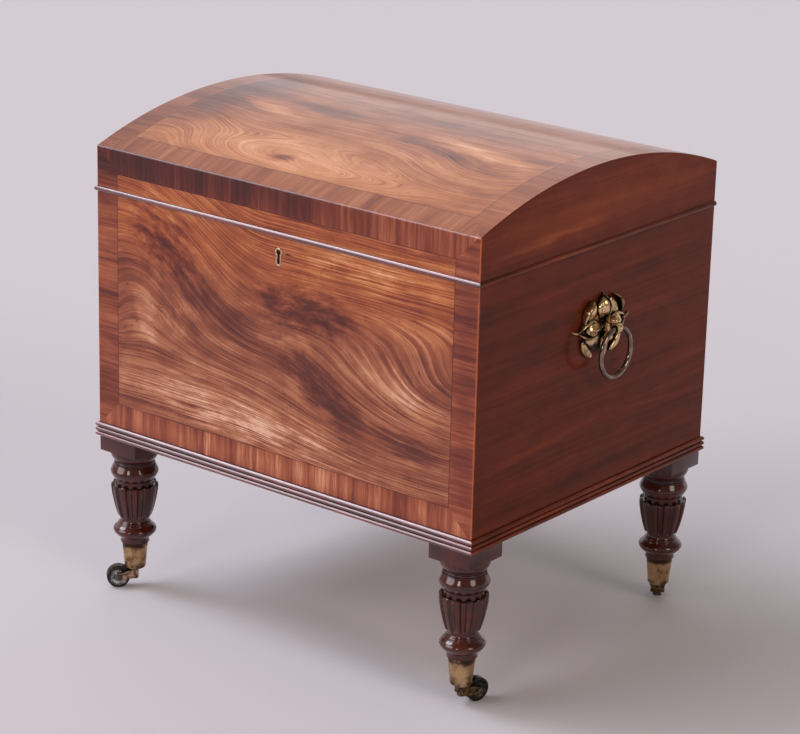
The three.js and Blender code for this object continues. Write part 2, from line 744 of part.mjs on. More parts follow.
const axleShape = turned([
  [0, -axleEnd], [axleHeadRadius, -axleEnd], [axleHeadRadius, -axleEnd + axleHeadHeight],
  [axleRadius, -axleEnd + axleHeadHeight], [axleRadius, axleEnd - axleHeadHeight],
  [axleHeadRadius, axleEnd - axleHeadHeight], [axleHeadRadius, axleEnd], [0, axleEnd],
], pinFacets).rotateX(Math.PI / 2).translate(casterTrail, 0, wheelRadius);

// The wheel stands on a flat facet, so its corners lie a little outside its radius
const wheelCorner = wheelRadius / Math.cos(Math.PI / wheelFacets);
const wheelBore = axleRadius + seam;
const wheelEdge = wheelWidth / 2;
const wheelWeb = wheelWebWidth / 2;
const wheelProfile = [
  [wheelBore, -wheelEdge], [wheelHubRadius, -wheelEdge], [wheelHubRadius + treadRounding, -wheelWeb],
  [wheelCorner - wheelRimDepth - treadRounding, -wheelWeb], [wheelCorner - wheelRimDepth, -wheelEdge],
  [wheelCorner - treadRounding, -wheelEdge], [wheelCorner, -wheelEdge + treadRounding],
];
const wheelShape = turned([
  ...wheelProfile, ...wheelProfile.toReversed().map(([r, z]) => [r, -z]), wheelProfile[0],
], wheelFacets).rotateX(Math.PI / 2).rotateY(Math.PI / wheelFacets).translate(casterTrail, 0, wheelRadius);

for (const leg of legs) {
  const place = { x: leg.x * legX, y: leg.y * legY };
  const trailing = { ...place, turn: leg.casterTurn };
  add(`leg_${leg.name}`, legShape(leg.reedTurn), finishes.dark, place);
  add(`leg_cap_${leg.name}`, capShape, finishes.brass, place);
  add(`caster_horn_${leg.name}`, hornShape, finishes.brass, trailing);
  add(`caster_axle_${leg.name}`, axleShape, finishes.steel, trailing);
  add(`caster_wheel_${leg.name}`, wheelShape, finishes.wheel, trailing);
}

export default cellarette;
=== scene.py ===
"""A domed mahogany cellarette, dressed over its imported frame.

Sizes are in millimetres and become metres where a mesh is made. The origin is on the floor under the middle
of the case, +X runs to the right end, the front faces -Y and +Z is up.
"""

import json
import logging
import math
from collections.abc import Callable, Sequence
from dataclasses import dataclass, replace
from enum import Enum
from functools import cache

import bmesh
import bpy
import numpy as np
from mathutils import Matrix, Vector

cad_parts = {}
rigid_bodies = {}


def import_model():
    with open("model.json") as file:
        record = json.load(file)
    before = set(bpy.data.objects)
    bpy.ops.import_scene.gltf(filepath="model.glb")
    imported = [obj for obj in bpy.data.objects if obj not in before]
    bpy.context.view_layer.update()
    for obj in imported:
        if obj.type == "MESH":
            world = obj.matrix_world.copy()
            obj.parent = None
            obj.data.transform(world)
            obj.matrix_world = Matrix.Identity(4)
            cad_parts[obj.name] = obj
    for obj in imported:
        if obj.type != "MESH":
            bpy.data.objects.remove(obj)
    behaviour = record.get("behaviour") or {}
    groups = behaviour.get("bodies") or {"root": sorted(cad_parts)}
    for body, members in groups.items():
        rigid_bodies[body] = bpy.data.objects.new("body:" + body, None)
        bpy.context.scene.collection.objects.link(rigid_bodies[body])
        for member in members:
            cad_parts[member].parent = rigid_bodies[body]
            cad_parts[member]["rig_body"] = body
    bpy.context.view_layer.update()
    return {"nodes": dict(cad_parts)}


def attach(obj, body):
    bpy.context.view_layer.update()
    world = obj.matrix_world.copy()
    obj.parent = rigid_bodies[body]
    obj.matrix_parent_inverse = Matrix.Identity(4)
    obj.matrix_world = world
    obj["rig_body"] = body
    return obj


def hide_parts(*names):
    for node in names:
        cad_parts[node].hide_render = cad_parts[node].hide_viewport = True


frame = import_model()
log = logging.getLogger("cellarette")

Array = np.ndarray
Pair = tuple[float, float]
Vec = tuple[float, float, float]
Stops = tuple[tuple[float, str], ...]
Knots = Sequence[Sequence[float]]

MM = 0.001
HALF_WIDTH, HALF_DEPTH, BOARD = 305.0, 244.0, 16.0
BASE, CASE_FLOOR, CASE_TOP = 212.0, 231.0, 541.0
LID_BOTTOM, ARRIS = 541.3, 600.0
HINGE_X, HINGE_SCREWS_Y, LOCK_Y = 190.0, 236.0, -232.5
CORNERS = ("front_left", "front_right", "back_left", "back_right")
HANDS = {"left": -1.0, "right": 1.0}


# Shapes


@dataclass(frozen=True)
class Form:
    """Closed surfaces: points in millimetres, and faces that hold the points' numbers."""

    points: Array
    faces: list[list[int]]

    @classmethod
    def grid(cls, points: Array, wrap: bool = False, open_ends: bool = False) -> "Form":
        """Joins a grid of points by faces. Its columns close on themselves.

        Args:
            points: The grid, as rows by columns by 3.
            wrap: Whether the last row joins the first, as on a ring. Otherwise both are filled.
            open_ends: Whether the first and the last row stay open, as on the floor.

        Returns:
            The surface.
        """
        rows, columns = points.shape[:2]
        row, column = np.meshgrid(np.arange(rows - (not wrap)), np.arange(columns), indexing="ij")
        here, above, beside = row * columns, (row + 1) % rows * columns, (column + 1) % columns
        corners = [here + column, here + beside, above + beside, above + column]
        faces = np.stack(corners, axis=-1).reshape(-1, 4).tolist()
        if not (wrap or open_ends):
            faces.append(list(range(columns)))
            faces.append(list(range((rows - 1) * columns, rows * columns)))
        return cls(points.reshape(-1, 3), faces)

    def __add__(self, other: "Form") -> "Form":
        """Returns both forms as one."""
        shift = len(self.points)
        moved = [[corner + shift for corner in face] for face in other.faces]
        return Form(np.vstack([self.points, other.points]), self.faces + moved)

    def mapped(self, change: Callable[[Array], Array]) -> "Form":
        """Returns the form with its points changed."""
        return Form(change(self.points), self.faces)

    def placed(self, degrees: float = 0.0, offset: Sequence[float] = (0.0, 0.0, 0.0)) -> "Form":
        """Turns the form about the z axis and then moves it: x' = x cos a - y sin a, y' = x sin a + y cos a.

        Args:
            degrees: The turn.
            offset: The move.

        Returns:
            The form in its place.
        """
        cosine, sine = math.cos(math.radians(degrees)), math.sin(math.radians(degrees))
        turn = np.array([[cosine, sine, 0.0], [-sine, cosine, 0.0], [0.0, 0.0, 1.0]])
        return self.mapped(lambda points: points @ turn + np.array(offset))

    def mesh(self, name: str) -> bpy.types.Mesh:
        """Returns the form as a mesh in metres."""
        mesh = bpy.data.meshes.new(name)
        mesh.from_pydata((self.points * MM).tolist(), [], self.faces)
        return mesh


def cornered(*runs: Knots) -> list[Sequence[float]]:
    """Puts runs of knots in a row, with a corner at the end of each but the last.

    Args:
        *runs: The runs. The last one may be empty, where the end before it is a corner too.

    Returns:
        The knots, with those at the corners given twice.
    """
    return [knot for run in runs[:-1] for knot in (*run, run[-1])] + [*runs[-1]]


def smooth_curve(knots: Knots, steps: int) -> Array:
    """Returns a curve through knots, as a Catmull-Rom spline.

    Each span is the cubic whose ends are two knots and whose slopes there are half the chord between the
    neighbours. A knot given twice in a row makes a corner.

    Args:
        knots: The curve's points, in any number of dimensions.
        steps: Points for each span.

    Returns:
        The curve's points, one a row.
    """
    at = np.array(knots, float)
    before, after = np.vstack([at[:1], at[:-2]]), np.vstack([at[2:], at[-1:]])
    start, end = at[:-1], at[1:]
    sharp_start = np.all(np.isclose(before, start), axis=1, keepdims=True)
    sharp_end = np.all(np.isclose(after, end), axis=1, keepdims=True)
    leaving = np.where(sharp_start, end - start, (end - before) / 2)[:, None, :]
    arriving = np.where(sharp_end, end - start, (after - start) / 2)[:, None, :]
    start, end = start[:, None, :], end[:, None, :]
    t = np.linspace(0, 1, steps, endpoint=False)[None, :, None]
    curve = ((2 * t**3 - 3 * t**2 + 1) * start + (t**3 - 2 * t**2 + t) * leaving
             + (3 * t**2 - 2 * t**3) * end + (t**3 - t**2) * arriving)
    return np.vstack([curve.reshape(-1, at.shape[1]), at[-1:]])


def round_angles(count: int) -> Array:
    """Returns that many equal steps round a circle, in radians."""
    return np.linspace(0, 2 * math.pi, count, endpoint=False)


def lathe(profile: Array, angles: Array, shift: Callable[[Array, Array], Array] | None = None,
          wrap: bool = False) -> Form:
    """Turns a profile of (radius, height) about the z axis: x = r cos a, y = r sin a.

    Args:
        profile: Radius and height in the first two columns, and what shift reads in the others.
        angles: The columns' places round the axis.
        shift: Gives what is added to (radius, height), from the profile as rows by 1 by columns of it, and
            from the angles as 1 by columns.
        wrap: Whether the profile is a loop. Otherwise a disc closes each end that lies off the axis.

    Returns:
        The turned surface.
    """
    angle = angles[None, :]
    both = np.repeat(profile[:, None, :2], len(angles), axis=1)
    if shift is not None:
        both = both + shift(profile[:, None, :], angle)
    radius, height = both[..., 0], both[..., 1]
    return Form.grid(np.stack([radius * np.cos(angle), radius * np.sin(angle), height], axis=-1), wrap)


def rounded_box(low: Vec, high: Vec, radius: float, steps: int = 3) -> Form:
    """Makes a box with all its edges rounded.

    Each level is a rectangle with quarter circles for corners. Over the rounding the levels draw in by
    radius (1 - sin a) while they rise by radius (1 - cos a).

    Args:
        low: The corner with the least x, y and z.
        high: The corner with the greatest.
        radius: The edges' radius.
        steps: Steps of a quarter circle.

    Returns:
        The box.
    """
    turn = np.linspace(0, math.pi / 2, steps + 1)
    rise, inset = radius * (1 - np.cos(turn)), radius * (1 - np.sin(turn))
    heights = np.concatenate([low[2] + rise, high[2] - rise[::-1]])[:, None]
    reach = radius - np.concatenate([inset, inset[::-1]])[:, None]
    quarters = (turn + np.arange(4)[:, None] * math.pi / 2).ravel()[None, :]
    right, back = np.repeat([1, 0, 0, 1], steps + 1), np.repeat([1, 1, 0, 0], steps + 1)
    centre_x = np.where(right, high[0] - radius, low[0] + radius)[None, :]
    centre_y = np.where(back, high[1] - radius, low[1] + radius)[None, :]
    x, y = centre_x + reach * np.cos(quarters), centre_y + reach * np.sin(quarters)
    return Form.grid(np.stack([x, y, np.broadcast_to(heights, x.shape)], axis=-1))


# Finishes


def linear(code: str) -> tuple[float, float, float, float]:
    """Turns an sRGB colour linear: c / 12.92, or ((c + 0.055) / 1.055)^2.4 where c is above 0.04045.

    Args:
        code: The colour, such as #8f4a28.

    Returns:
        Red, green, blue and 1.
    """
    shares = [int(code[i:i + 2], 16) / 255 for i in (1, 3, 5)]
    red, green, blue = (c / 12.92 if c <= 0.04045 else ((c + 0.055) / 1.055) ** 2.4 for c in shares)
    return red, green, blue, 1.0


@dataclass(frozen=True)
class Tree:
    """The nodes of a material or of the world, and the means to add to them."""

    owner: bpy.types.ID

    @classmethod
    def of(cls, owner: bpy.types.ID) -> "Tree":
        """Returns the tree of a material or of the world, emptied."""
        owner.use_nodes = True
        owner.node_tree.nodes.clear()
        return cls(owner)

    def add(self, kind: str, *values: object, stops: Stops = (), **named: object) -> bpy.types.Node:
        """Adds a node.

        Args:
            kind: The node's type, without ShaderNode.
            *values: Its first inputs: values, sockets, or nodes whose first output is meant.
            stops: Places and sRGB colours of a colour ramp.
            **named: Other inputs by their names, with _ for spaces, and the node's own properties.

        Returns:
            The node.
        """
        node = self.owner.node_tree.nodes.new(f"ShaderNode{kind}")
        inputs: dict[int | str, object] = dict(enumerate(values))
        for name, value in named.items():
            socket = name.replace("_", " ")
            if socket in node.inputs:
                inputs[socket] = value
            else:
                setattr(node, name, value)
        for key, value in inputs.items():
            value = value.outputs[0] if isinstance(value, bpy.types.Node) else value
            if isinstance(value, bpy.types.NodeSocket):
                self.owner.node_tree.links.new(value, node.inputs[key])
            else:
                node.inputs[key].default_value = value
        if stops:
            ramp = node.color_ramp.elements
            while len(ramp) < len(stops):
                ramp.new(1.0)
            for element, (place, colour) in zip(ramp, stops):
                element.position, element.color = place, linear(colour)
        return node

    def place(self) -> bpy.types.Node:
        """Adds nodes that give the place on the object in millimetres."""
        place = self.add("TexCoord").outputs["Object"]
        return self.add("VectorMath", place, (1 / MM,) * 3, operation="MULTIPLY")

    def noise(self, at: object, size: Vec, detail: float = 3.0, roughness: float = 0.55,
              seed: float = 0.0) -> bpy.types.Node:
        """Adds noise.

        Args:
            at: Where it is read.
            size: What its blotches measure, in the units of at.
            detail: The number of finer layers.
            roughness: How strong each layer is beside the coarser one.
            seed: A shift that makes it differ from other noise.

        Returns:
            The node.
        """
        shares = tuple(1 / side for side in size)
        scaled = self.add("Mapping", at, Location=(seed, seed, seed), Scale=shares)
        return self.add("TexNoise", scaled, Scale=1.0, Detail=detail, Roughness=roughness)

    def blend(self, terms: Sequence[tuple[object, float]], start: float = 0.0) -> object:
        """Adds nodes for a sum: start plus each term times its share.

        Args:
            terms: Pairs of a term and its share.
            start: What the sum starts with.

        Returns:
            The last node, or start if there are no terms.
        """
        total: object = start
        for value, share in terms:
            total = self.add("Math", value, share, total, operation="MULTIPLY_ADD")
        return total

    def masked(self, value: object, low: float, high: float, share: float = 1.0) -> bpy.types.Node:
        """Adds a smooth step: 0 where the value is at low, share where it is at high."""
        return self.add("MapRange", value, low, high, 0.0, share, interpolation_type="SMOOTHSTEP")

    def hollows(self, reach: float, share: float) -> bpy.types.Node:
        """Adds the share of painted shade, from ambient occlusion, in corners and grooves that are narrower
        than about reach millimetres. On the metals it stands for tarnish there as well.
        """
        open_sky = self.add("AmbientOcclusion", Distance=reach * MM, samples=8).outputs["AO"]
        return self.masked(open_sky, 0.92, 0.35, share)

    def surface(self, **inputs: object) -> bpy.types.Material:
        """Adds the shader with its inputs and returns the finished material."""
        self.add("OutputMaterial", self.add("BsdfPrincipled", **inputs))
        return self.owner


class Plane(Enum):
    """The directions that a sheet of veneer lies in."""

    FRONT = ("X", "Z")
    SIDE = ("Y", "Z")
    TOP = ("X", "Y")


@dataclass(frozen=True)
class Swell:
    """A smooth hill on a sheet of wood, turned by some degrees.

    It bends the grain round it, or makes its place lighter or darker.
    """

    x: float
    y: float
    wide: float
    high: float
    rise: float
    turn: float = 0.0

    def height(self, tree: Tree, sheet: bpy.types.Node) -> bpy.types.Node:
        """Adds nodes for the hill's height: rise where the distance over the radii is 0, and 0 from 1 on.

        Args:
            tree: The material's nodes.
            sheet: The place on the sheet.

        Returns:
            The node that gives the height.
        """
        turn = (0.0, 0.0, math.radians(self.turn))
        centred = tree.add("Mapping", sheet, (self.x, self.y, 0.0), turn, (self.wide, self.high, 1000.0),
                           vector_type="TEXTURE")
        distance = tree.add("VectorMath", centred, operation="LENGTH").outputs["Value"]
        return tree.add("MapRange", distance, 0.0, 1.0, self.rise, 0.0, interpolation_type="SMOOTHERSTEP")


def swells(*rows: Sequence[float]) -> tuple[Swell, ...]:
    """Returns hills from rows of x, y, wide, high, rise and turn."""
    return tuple(Swell(*row) for row in rows)


@dataclass(frozen=True)
class Veneer:
    """Polished mahogany veneer: a figured sheet, with or without a crossbanded border.

    Saw-cut Cuban mahogany under many coats of shellac: deep red-brown, lit from within where the fibres rise,
    with thin dark growth lines and pores along the grain, and a clear gloss that has small waves from hand
    rubbing.
    """

    name: str
    plane: Plane
    palette: Stops
    tone: float
    broad: Pair
    contrast: tuple[float, float, float, float]
    growth: float
    wander: float
    bends: tuple[Swell, ...] = ()
    tones: tuple[Swell, ...] = ()
    mottles: tuple[Swell, ...] = ()
    fray: Vec = (70, 40, 0)
    border: tuple[Pair, Pair] | None = None
    rim: float = HALF_WIDTH
    upper: Stops = ()
    band: Stops = ()
    band_tone: float = 0.5
    band_tones: tuple[Swell, ...] = ()
    band_contrast: Vec = (0.8, 0.6, 0.4)
    polish: float = 0.7

    def build(self) -> bpy.types.Material:
        """Makes the material."""
        tree = Tree.of(bpy.data.materials.new(self.name))
        place = tree.place()
        parts = tree.add("SeparateXYZ", place)
        along, up = (parts.outputs[axis] for axis in self.plane.value)
        sheet = tree.add("CombineXYZ", along, up)
        colour, pores = self.field(tree, sheet, along, up)
        if self.border:
            colour = self.bordered(tree, colour, sheet, along, up)
        haze = tree.noise(place, (60, 60, 60), 4)
        waves = tree.noise(place, (34, 34, 34), 2, seed=7)
        ripple = tree.add("Bump", Height=waves, Distance=0.3 * MM, Strength=0.5)
        grain = tree.add("Bump", Height=tree.blend([(pores, -0.25)]), Distance=0.2 * MM, Strength=0.5,
                         Normal=ripple)
        return tree.surface(
            Base_Color=self.worn(tree, colour, place, along),
            Roughness=tree.add("MapRange", haze, 0.35, 0.65, 0.3, 0.42), Normal=grain, IOR=1.5,
            Specular_IOR_Level=0.05, Coat_Weight=self.polish, Coat_Roughness=0.1, Coat_IOR=1.5,
            Coat_Normal=ripple)

    def field(self, tree: Tree, sheet: bpy.types.Node, along: object, up: object) -> tuple[object, object]:
        """Adds the figure: streaks that follow up plus the bends, coloured by their tone.

        Where the mottles rise the streaks fade into flecks, and where they fall the streaks are bolder.

        Args:
            tree: The material's nodes.
            sheet: The place on the sheet.
            along: Its first part, along the grain.
            up: Its second part.

        Returns:
            The colour, and the pores from 0 to 1.
        """
        drift = tree.noise(sheet, (120, 60, 1), 2, seed=3)
        flow = tree.blend([(swell.height(tree, sheet), 1.0) for swell in self.bends] + [(up, 1.0)])
        grain = tree.add("CombineXYZ", along, tree.blend([(drift, self.wander), (flow, 1.0)]))
        long, wide = self.broad
        broad = tree.noise(grain, (long, wide, 1))
        middle = tree.noise(grain, (long * 0.5, wide * 0.4, 1), seed=11)
        fine = tree.noise(grain, (long * 0.4, wide * 0.16, 1), 2, seed=23)
        clouds = tree.noise(sheet, (45, 30, 1), 5, seed=31)
        feather = tree.noise(grain, (50, 9, 1), 4, seed=71).outputs["Color"]
        centred = tree.add("VectorMath", feather, (0.5, 0.5, 0.5), operation="SUBTRACT")
        frayed = tree.add("VectorMath", centred, self.fray, sheet, operation="MULTIPLY_ADD")
        rings = tree.masked(tree.noise(grain, (long * 1.6, wide * 0.2, 1), 1, 0.4, 67), 0.52, 0.57)
        *shares, cloudy = self.contrast
        lines = tree.blend([*zip((broad, middle, fine), shares), (rings, -self.growth)], -sum(shares) / 2)
        if self.mottles:
            flecks = tree.noise(grain, (36, 13, 1), 5, 0.65, 83)
            cover = tree.blend([(swell.height(tree, frayed), 1.0) for swell in self.mottles])
            calm = tree.blend([(cover, -0.4)], 1.0)
            fleck = tree.add("Math", flecks, 0.5, operation="SUBTRACT")
            quiet = tree.add("Math", lines, calm, operation="MULTIPLY")
            lines = tree.add("Math", fleck, cover, quiet, operation="MULTIPLY_ADD")
        hills = [(swell.height(tree, frayed), 1.0) for swell in self.tones]
        tone = tree.blend([(lines, 1.0), (clouds, cloudy), *hills], self.tone - cloudy / 2)
        colour = tree.add("ValToRGB", tone, stops=self.palette)
        if self.upper:
            above = tree.add("ValToRGB", tone, stops=self.upper)
            height = tree.blend([(clouds, 60.0), (up, 1.0)], -30.0)
            colour = tree.add("MixRGB", tree.masked(height, 410, 520), colour, above)
        pores = tree.masked(tree.noise(grain, (8, 1.1, 1), 1, seed=41), 0.64, 0.74)
        shade = tree.add("Math", pores, 0.5, operation="MULTIPLY")
        return tree.add("MixRGB", shade, colour, linear("#2a120b")), pores

    def bordered(self, tree: Tree, colour: object, sheet: bpy.types.Node, along: object,
                 up: object) -> object:
        """Adds the crossbanding: bands whose grain runs square to the edge, mitred at the corners.

        A point's distance outside the field is the larger of its distances beyond the field along each
        direction, and the larger one tells which band it lies in. A dark joint runs where the distance is 0.

        Args:
            tree: The material's nodes.
            colour: The field's colour.
            sheet: The place on the sheet.
            along: Its first part.
            up: Its second part.

        Returns:
            The colour of both.
        """
        beyond = []
        for value, (low, high) in zip((along, up), self.border):
            centred = tree.add("Math", value, (low + high) / 2, operation="SUBTRACT")
            away = tree.add("Math", centred, operation="ABSOLUTE")
            beyond.append(tree.add("Math", away, (high - low) / 2, operation="SUBTRACT"))
        outside = tree.add("Math", *beyond, operation="MAXIMUM")
        upright = tree.add("Math", *beyond, operation="GREATER_THAN")
        grain = tree.add("MixRGB", upright, sheet, tree.add("CombineXYZ", up, along, 500.0))
        leaves = tree.noise(grain, (30, 240, 1), 2, seed=5)
        stripes = tree.noise(grain, (6, 150, 1), 2, seed=13)
        fine = tree.noise(grain, (1.6, 30, 1), 2, seed=17)
        hills = [(swell.height(tree, sheet), 1.0) for swell in self.band_tones]
        tone = tree.blend([*zip((leaves, stripes, fine), self.band_contrast), *hills],
                          self.band_tone - sum(self.band_contrast) / 2)
        band = tree.add("ValToRGB", tone, stops=self.band)
        joined = tree.add("MixRGB", tree.add("MapRange", outside, -0.1, 0.1), colour, band)
        near = tree.add("Math", outside, operation="ABSOLUTE")
        return tree.add("MixRGB", tree.add("MapRange", near, 0.25, 0.7, 0.75, 0.0), joined, linear("#2b0f08"))

    def worn(self, tree: Tree, colour: object, place: bpy.types.Node, along: object) -> object:
        """Adds the lighter line along the upright edges, where the polish has been rubbed through.

        Its share falls from 0.8 to 0 as the distance from the edge goes from 0.5 to 1.2 of its reach.

        Args:
            tree: The material's nodes.
            colour: The wood's colour.
            place: The place on the object.
            along: The part of it that is measured from the edges.

        Returns:
            The colour of both.
        """
        away = tree.add("Math", along, operation="ABSOLUTE")
        nearest = tree.add("Math", self.rim, away, operation="SUBTRACT")
        reach = tree.blend([(tree.noise(place, (14, 14, 14), seed=19), 2.4)], 0.3)
        share = tree.add("Math", nearest, reach, operation="DIVIDE")
        wear = tree.add("MapRange", share, 0.5, 1.2, 0.8, 0.0)
        return tree.add("MixRGB", wear, colour, linear("#c4673a"))


@dataclass(frozen=True)
class SolidMahogany:
    """Solid mahogany, turned or planed: straight streaks along one axis, with or without polish, and painted
    shade in its grooves and corners.
    """

    name: str
    palette: Stops
    grain: Vec
    polish: float = 0.9
    gloss: float = 0.1
    roughness: float = 0.35
    hollow_shade: float = 0.75
    reach: float = 5.0
    streaks: Vec = (1.1, 0.35, 0.5)
    specular: float = 0.25
    coat_ior: float = 1.5

    def build(self) -> bpy.types.Material:
        """Makes the material."""
        tree = Tree.of(bpy.data.materials.new(self.name))
        place = tree.place()
        broad = tree.noise(place, tuple(150.0 if side else 5.0 for side in self.grain), 4)
        fine = tree.noise(place, tuple(18.0 if side else 0.8 for side in self.grain), 2, seed=9)
        clouds = tree.noise(place, (30, 30, 30), seed=27)
        tone = tree.blend([*zip((broad, fine, clouds), self.streaks)], 0.495 - sum(self.streaks) / 2)
        clean = tree.add("ValToRGB", tone, stops=self.palette)
        # Painted shade: grooves and corners narrower than reach are darkened towards near black
        colour = tree.add("MixRGB", tree.hollows(self.reach, self.hollow_shade), clean, linear("#150706"))
        swell = tree.noise(place, (16, 16, 16), 2, seed=3)
        height = tree.blend([(fine, 0.3), (swell, 1.0)])
        bump = tree.add("Bump", Height=height, Distance=0.15 * MM, Strength=0.4)
        return tree.surface(Base_Color=colour, Roughness=self.roughness, Normal=bump, IOR=1.5,
                            Specular_IOR_Level=self.specular, Coat_Weight=self.polish,
                            Coat_Roughness=self.gloss, Coat_IOR=self.coat_ior)


@dataclass(frozen=True)
class AgedMetal:
    """Cast or turned metal: patches of two colours rubbed bright, and a third, darker one in patches of
    tarnish and in the hollows, where shade is painted in as well.

    A zone is a height, the reach up and down from there of more of the dark colour, and its share.
    """

    name: str
    clean: str
    dull: str
    tarnish_and_shade: str
    patches: float
    share: float
    roughness: Pair
    hollow: float = 6.0
    zones: tuple[Vec, ...] = ()

    def build(self) -> bpy.types.Material:
        """Makes the material."""
        tree = Tree.of(bpy.data.materials.new(self.name))
        place = tree.place()
        blotch = tree.noise(place, (self.patches,) * 3, 5, 0.65)
        speck = tree.noise(place, (self.patches * 0.2,) * 3, 4, seed=15)
        # The hollows add painted shade to the tarnish
        terms = [(blotch, 1.0), (speck, 0.35), (tree.hollows(self.hollow, 0.5), 1.0)]
        for height, reach, share in self.zones:
            up = tree.add("SeparateXYZ", place).outputs["Z"]
            away = tree.add("Math", tree.add("Math", up, height, operation="SUBTRACT"), operation="ABSOLUTE")
            terms.append((tree.masked(away, reach, 0.0, share), 1.0))
        edge = 1 - self.share
        dark = tree.add("MapRange", tree.blend(terms, -0.175), edge - 0.14, edge + 0.1)
        base = tree.add("MixRGB", tree.masked(blotch, 0.4, 0.6), linear(self.clean), linear(self.dull))
        bump = tree.add("Bump", Height=tree.blend([(blotch, 1.0), (speck, 0.3)]), Distance=0.15 * MM,
                        Strength=0.5)
        return tree.surface(
            Base_Color=tree.add("MixRGB", dark, base, linear(self.tarnish_and_shade)), Normal=bump,
            Metallic=tree.add("MapRange", dark, 0.0, 1.0, 1.0, 0.75),
            Roughness=tree.add("MapRange", dark, 0.0, 1.0, *self.roughness))


FIGURED = ((0.0, "#4b201a"), (0.25, "#693225"), (0.5, "#925138"), (0.72, "#b57755"), (0.9, "#d19a7e"),
           (1.0, "#e0b298"))
ORANGE = ((0.0, "#501f15"), (0.25, "#75311c"), (0.5, "#a0522f"), (0.72, "#c17645"), (0.9, "#d99768"),
          (1.0, "#e6b08a"))
FADED = ((0.0, "#532a20"), (0.25, "#7e4630"), (0.5, "#ab6841"), (0.75, "#c98a5f"), (1.0, "#e6b189"))
STRAIGHT = ((0.0, "#2b0f06"), (0.3, "#4e1e0d"), (0.55, "#6e2c15"), (0.8, "#8d4120"), (1.0, "#ab602d"))
BANDED = ((0.0, "#35120f"), (0.3, "#562019"), (0.55, "#7c3825"), (0.8, "#a35a3c"), (1.0, "#c98a68"))
TAN_BAND = ((0.0, "#522518"), (0.3, "#793e27"), (0.55, "#9b5c3c"), (0.8, "#b97f57"), (1.0, "#d4a47c"))
REDDISH = ((0.0, "#2c0d10"), (0.35, "#4e1b1d"), (0.6, "#6f2d2f"), (0.85, "#964c48"), (1.0, "#b8736a"))
DARK = ((0.0, "#140605"), (0.35, "#2f0e09"), (0.6, "#4c190f"), (0.85, "#742d18"), (1.0, "#984824"))
PLAIN = ((0.0, "#3a1c10"), (0.35, "#5f3620"), (0.65, "#845334"), (1.0, "#a97750"))
X_GRAIN, Y_GRAIN, Z_GRAIN = (1.0, 0.0, 0.0), (0.0, 1.0, 0.0), (0.0, 0.0, 1.0)


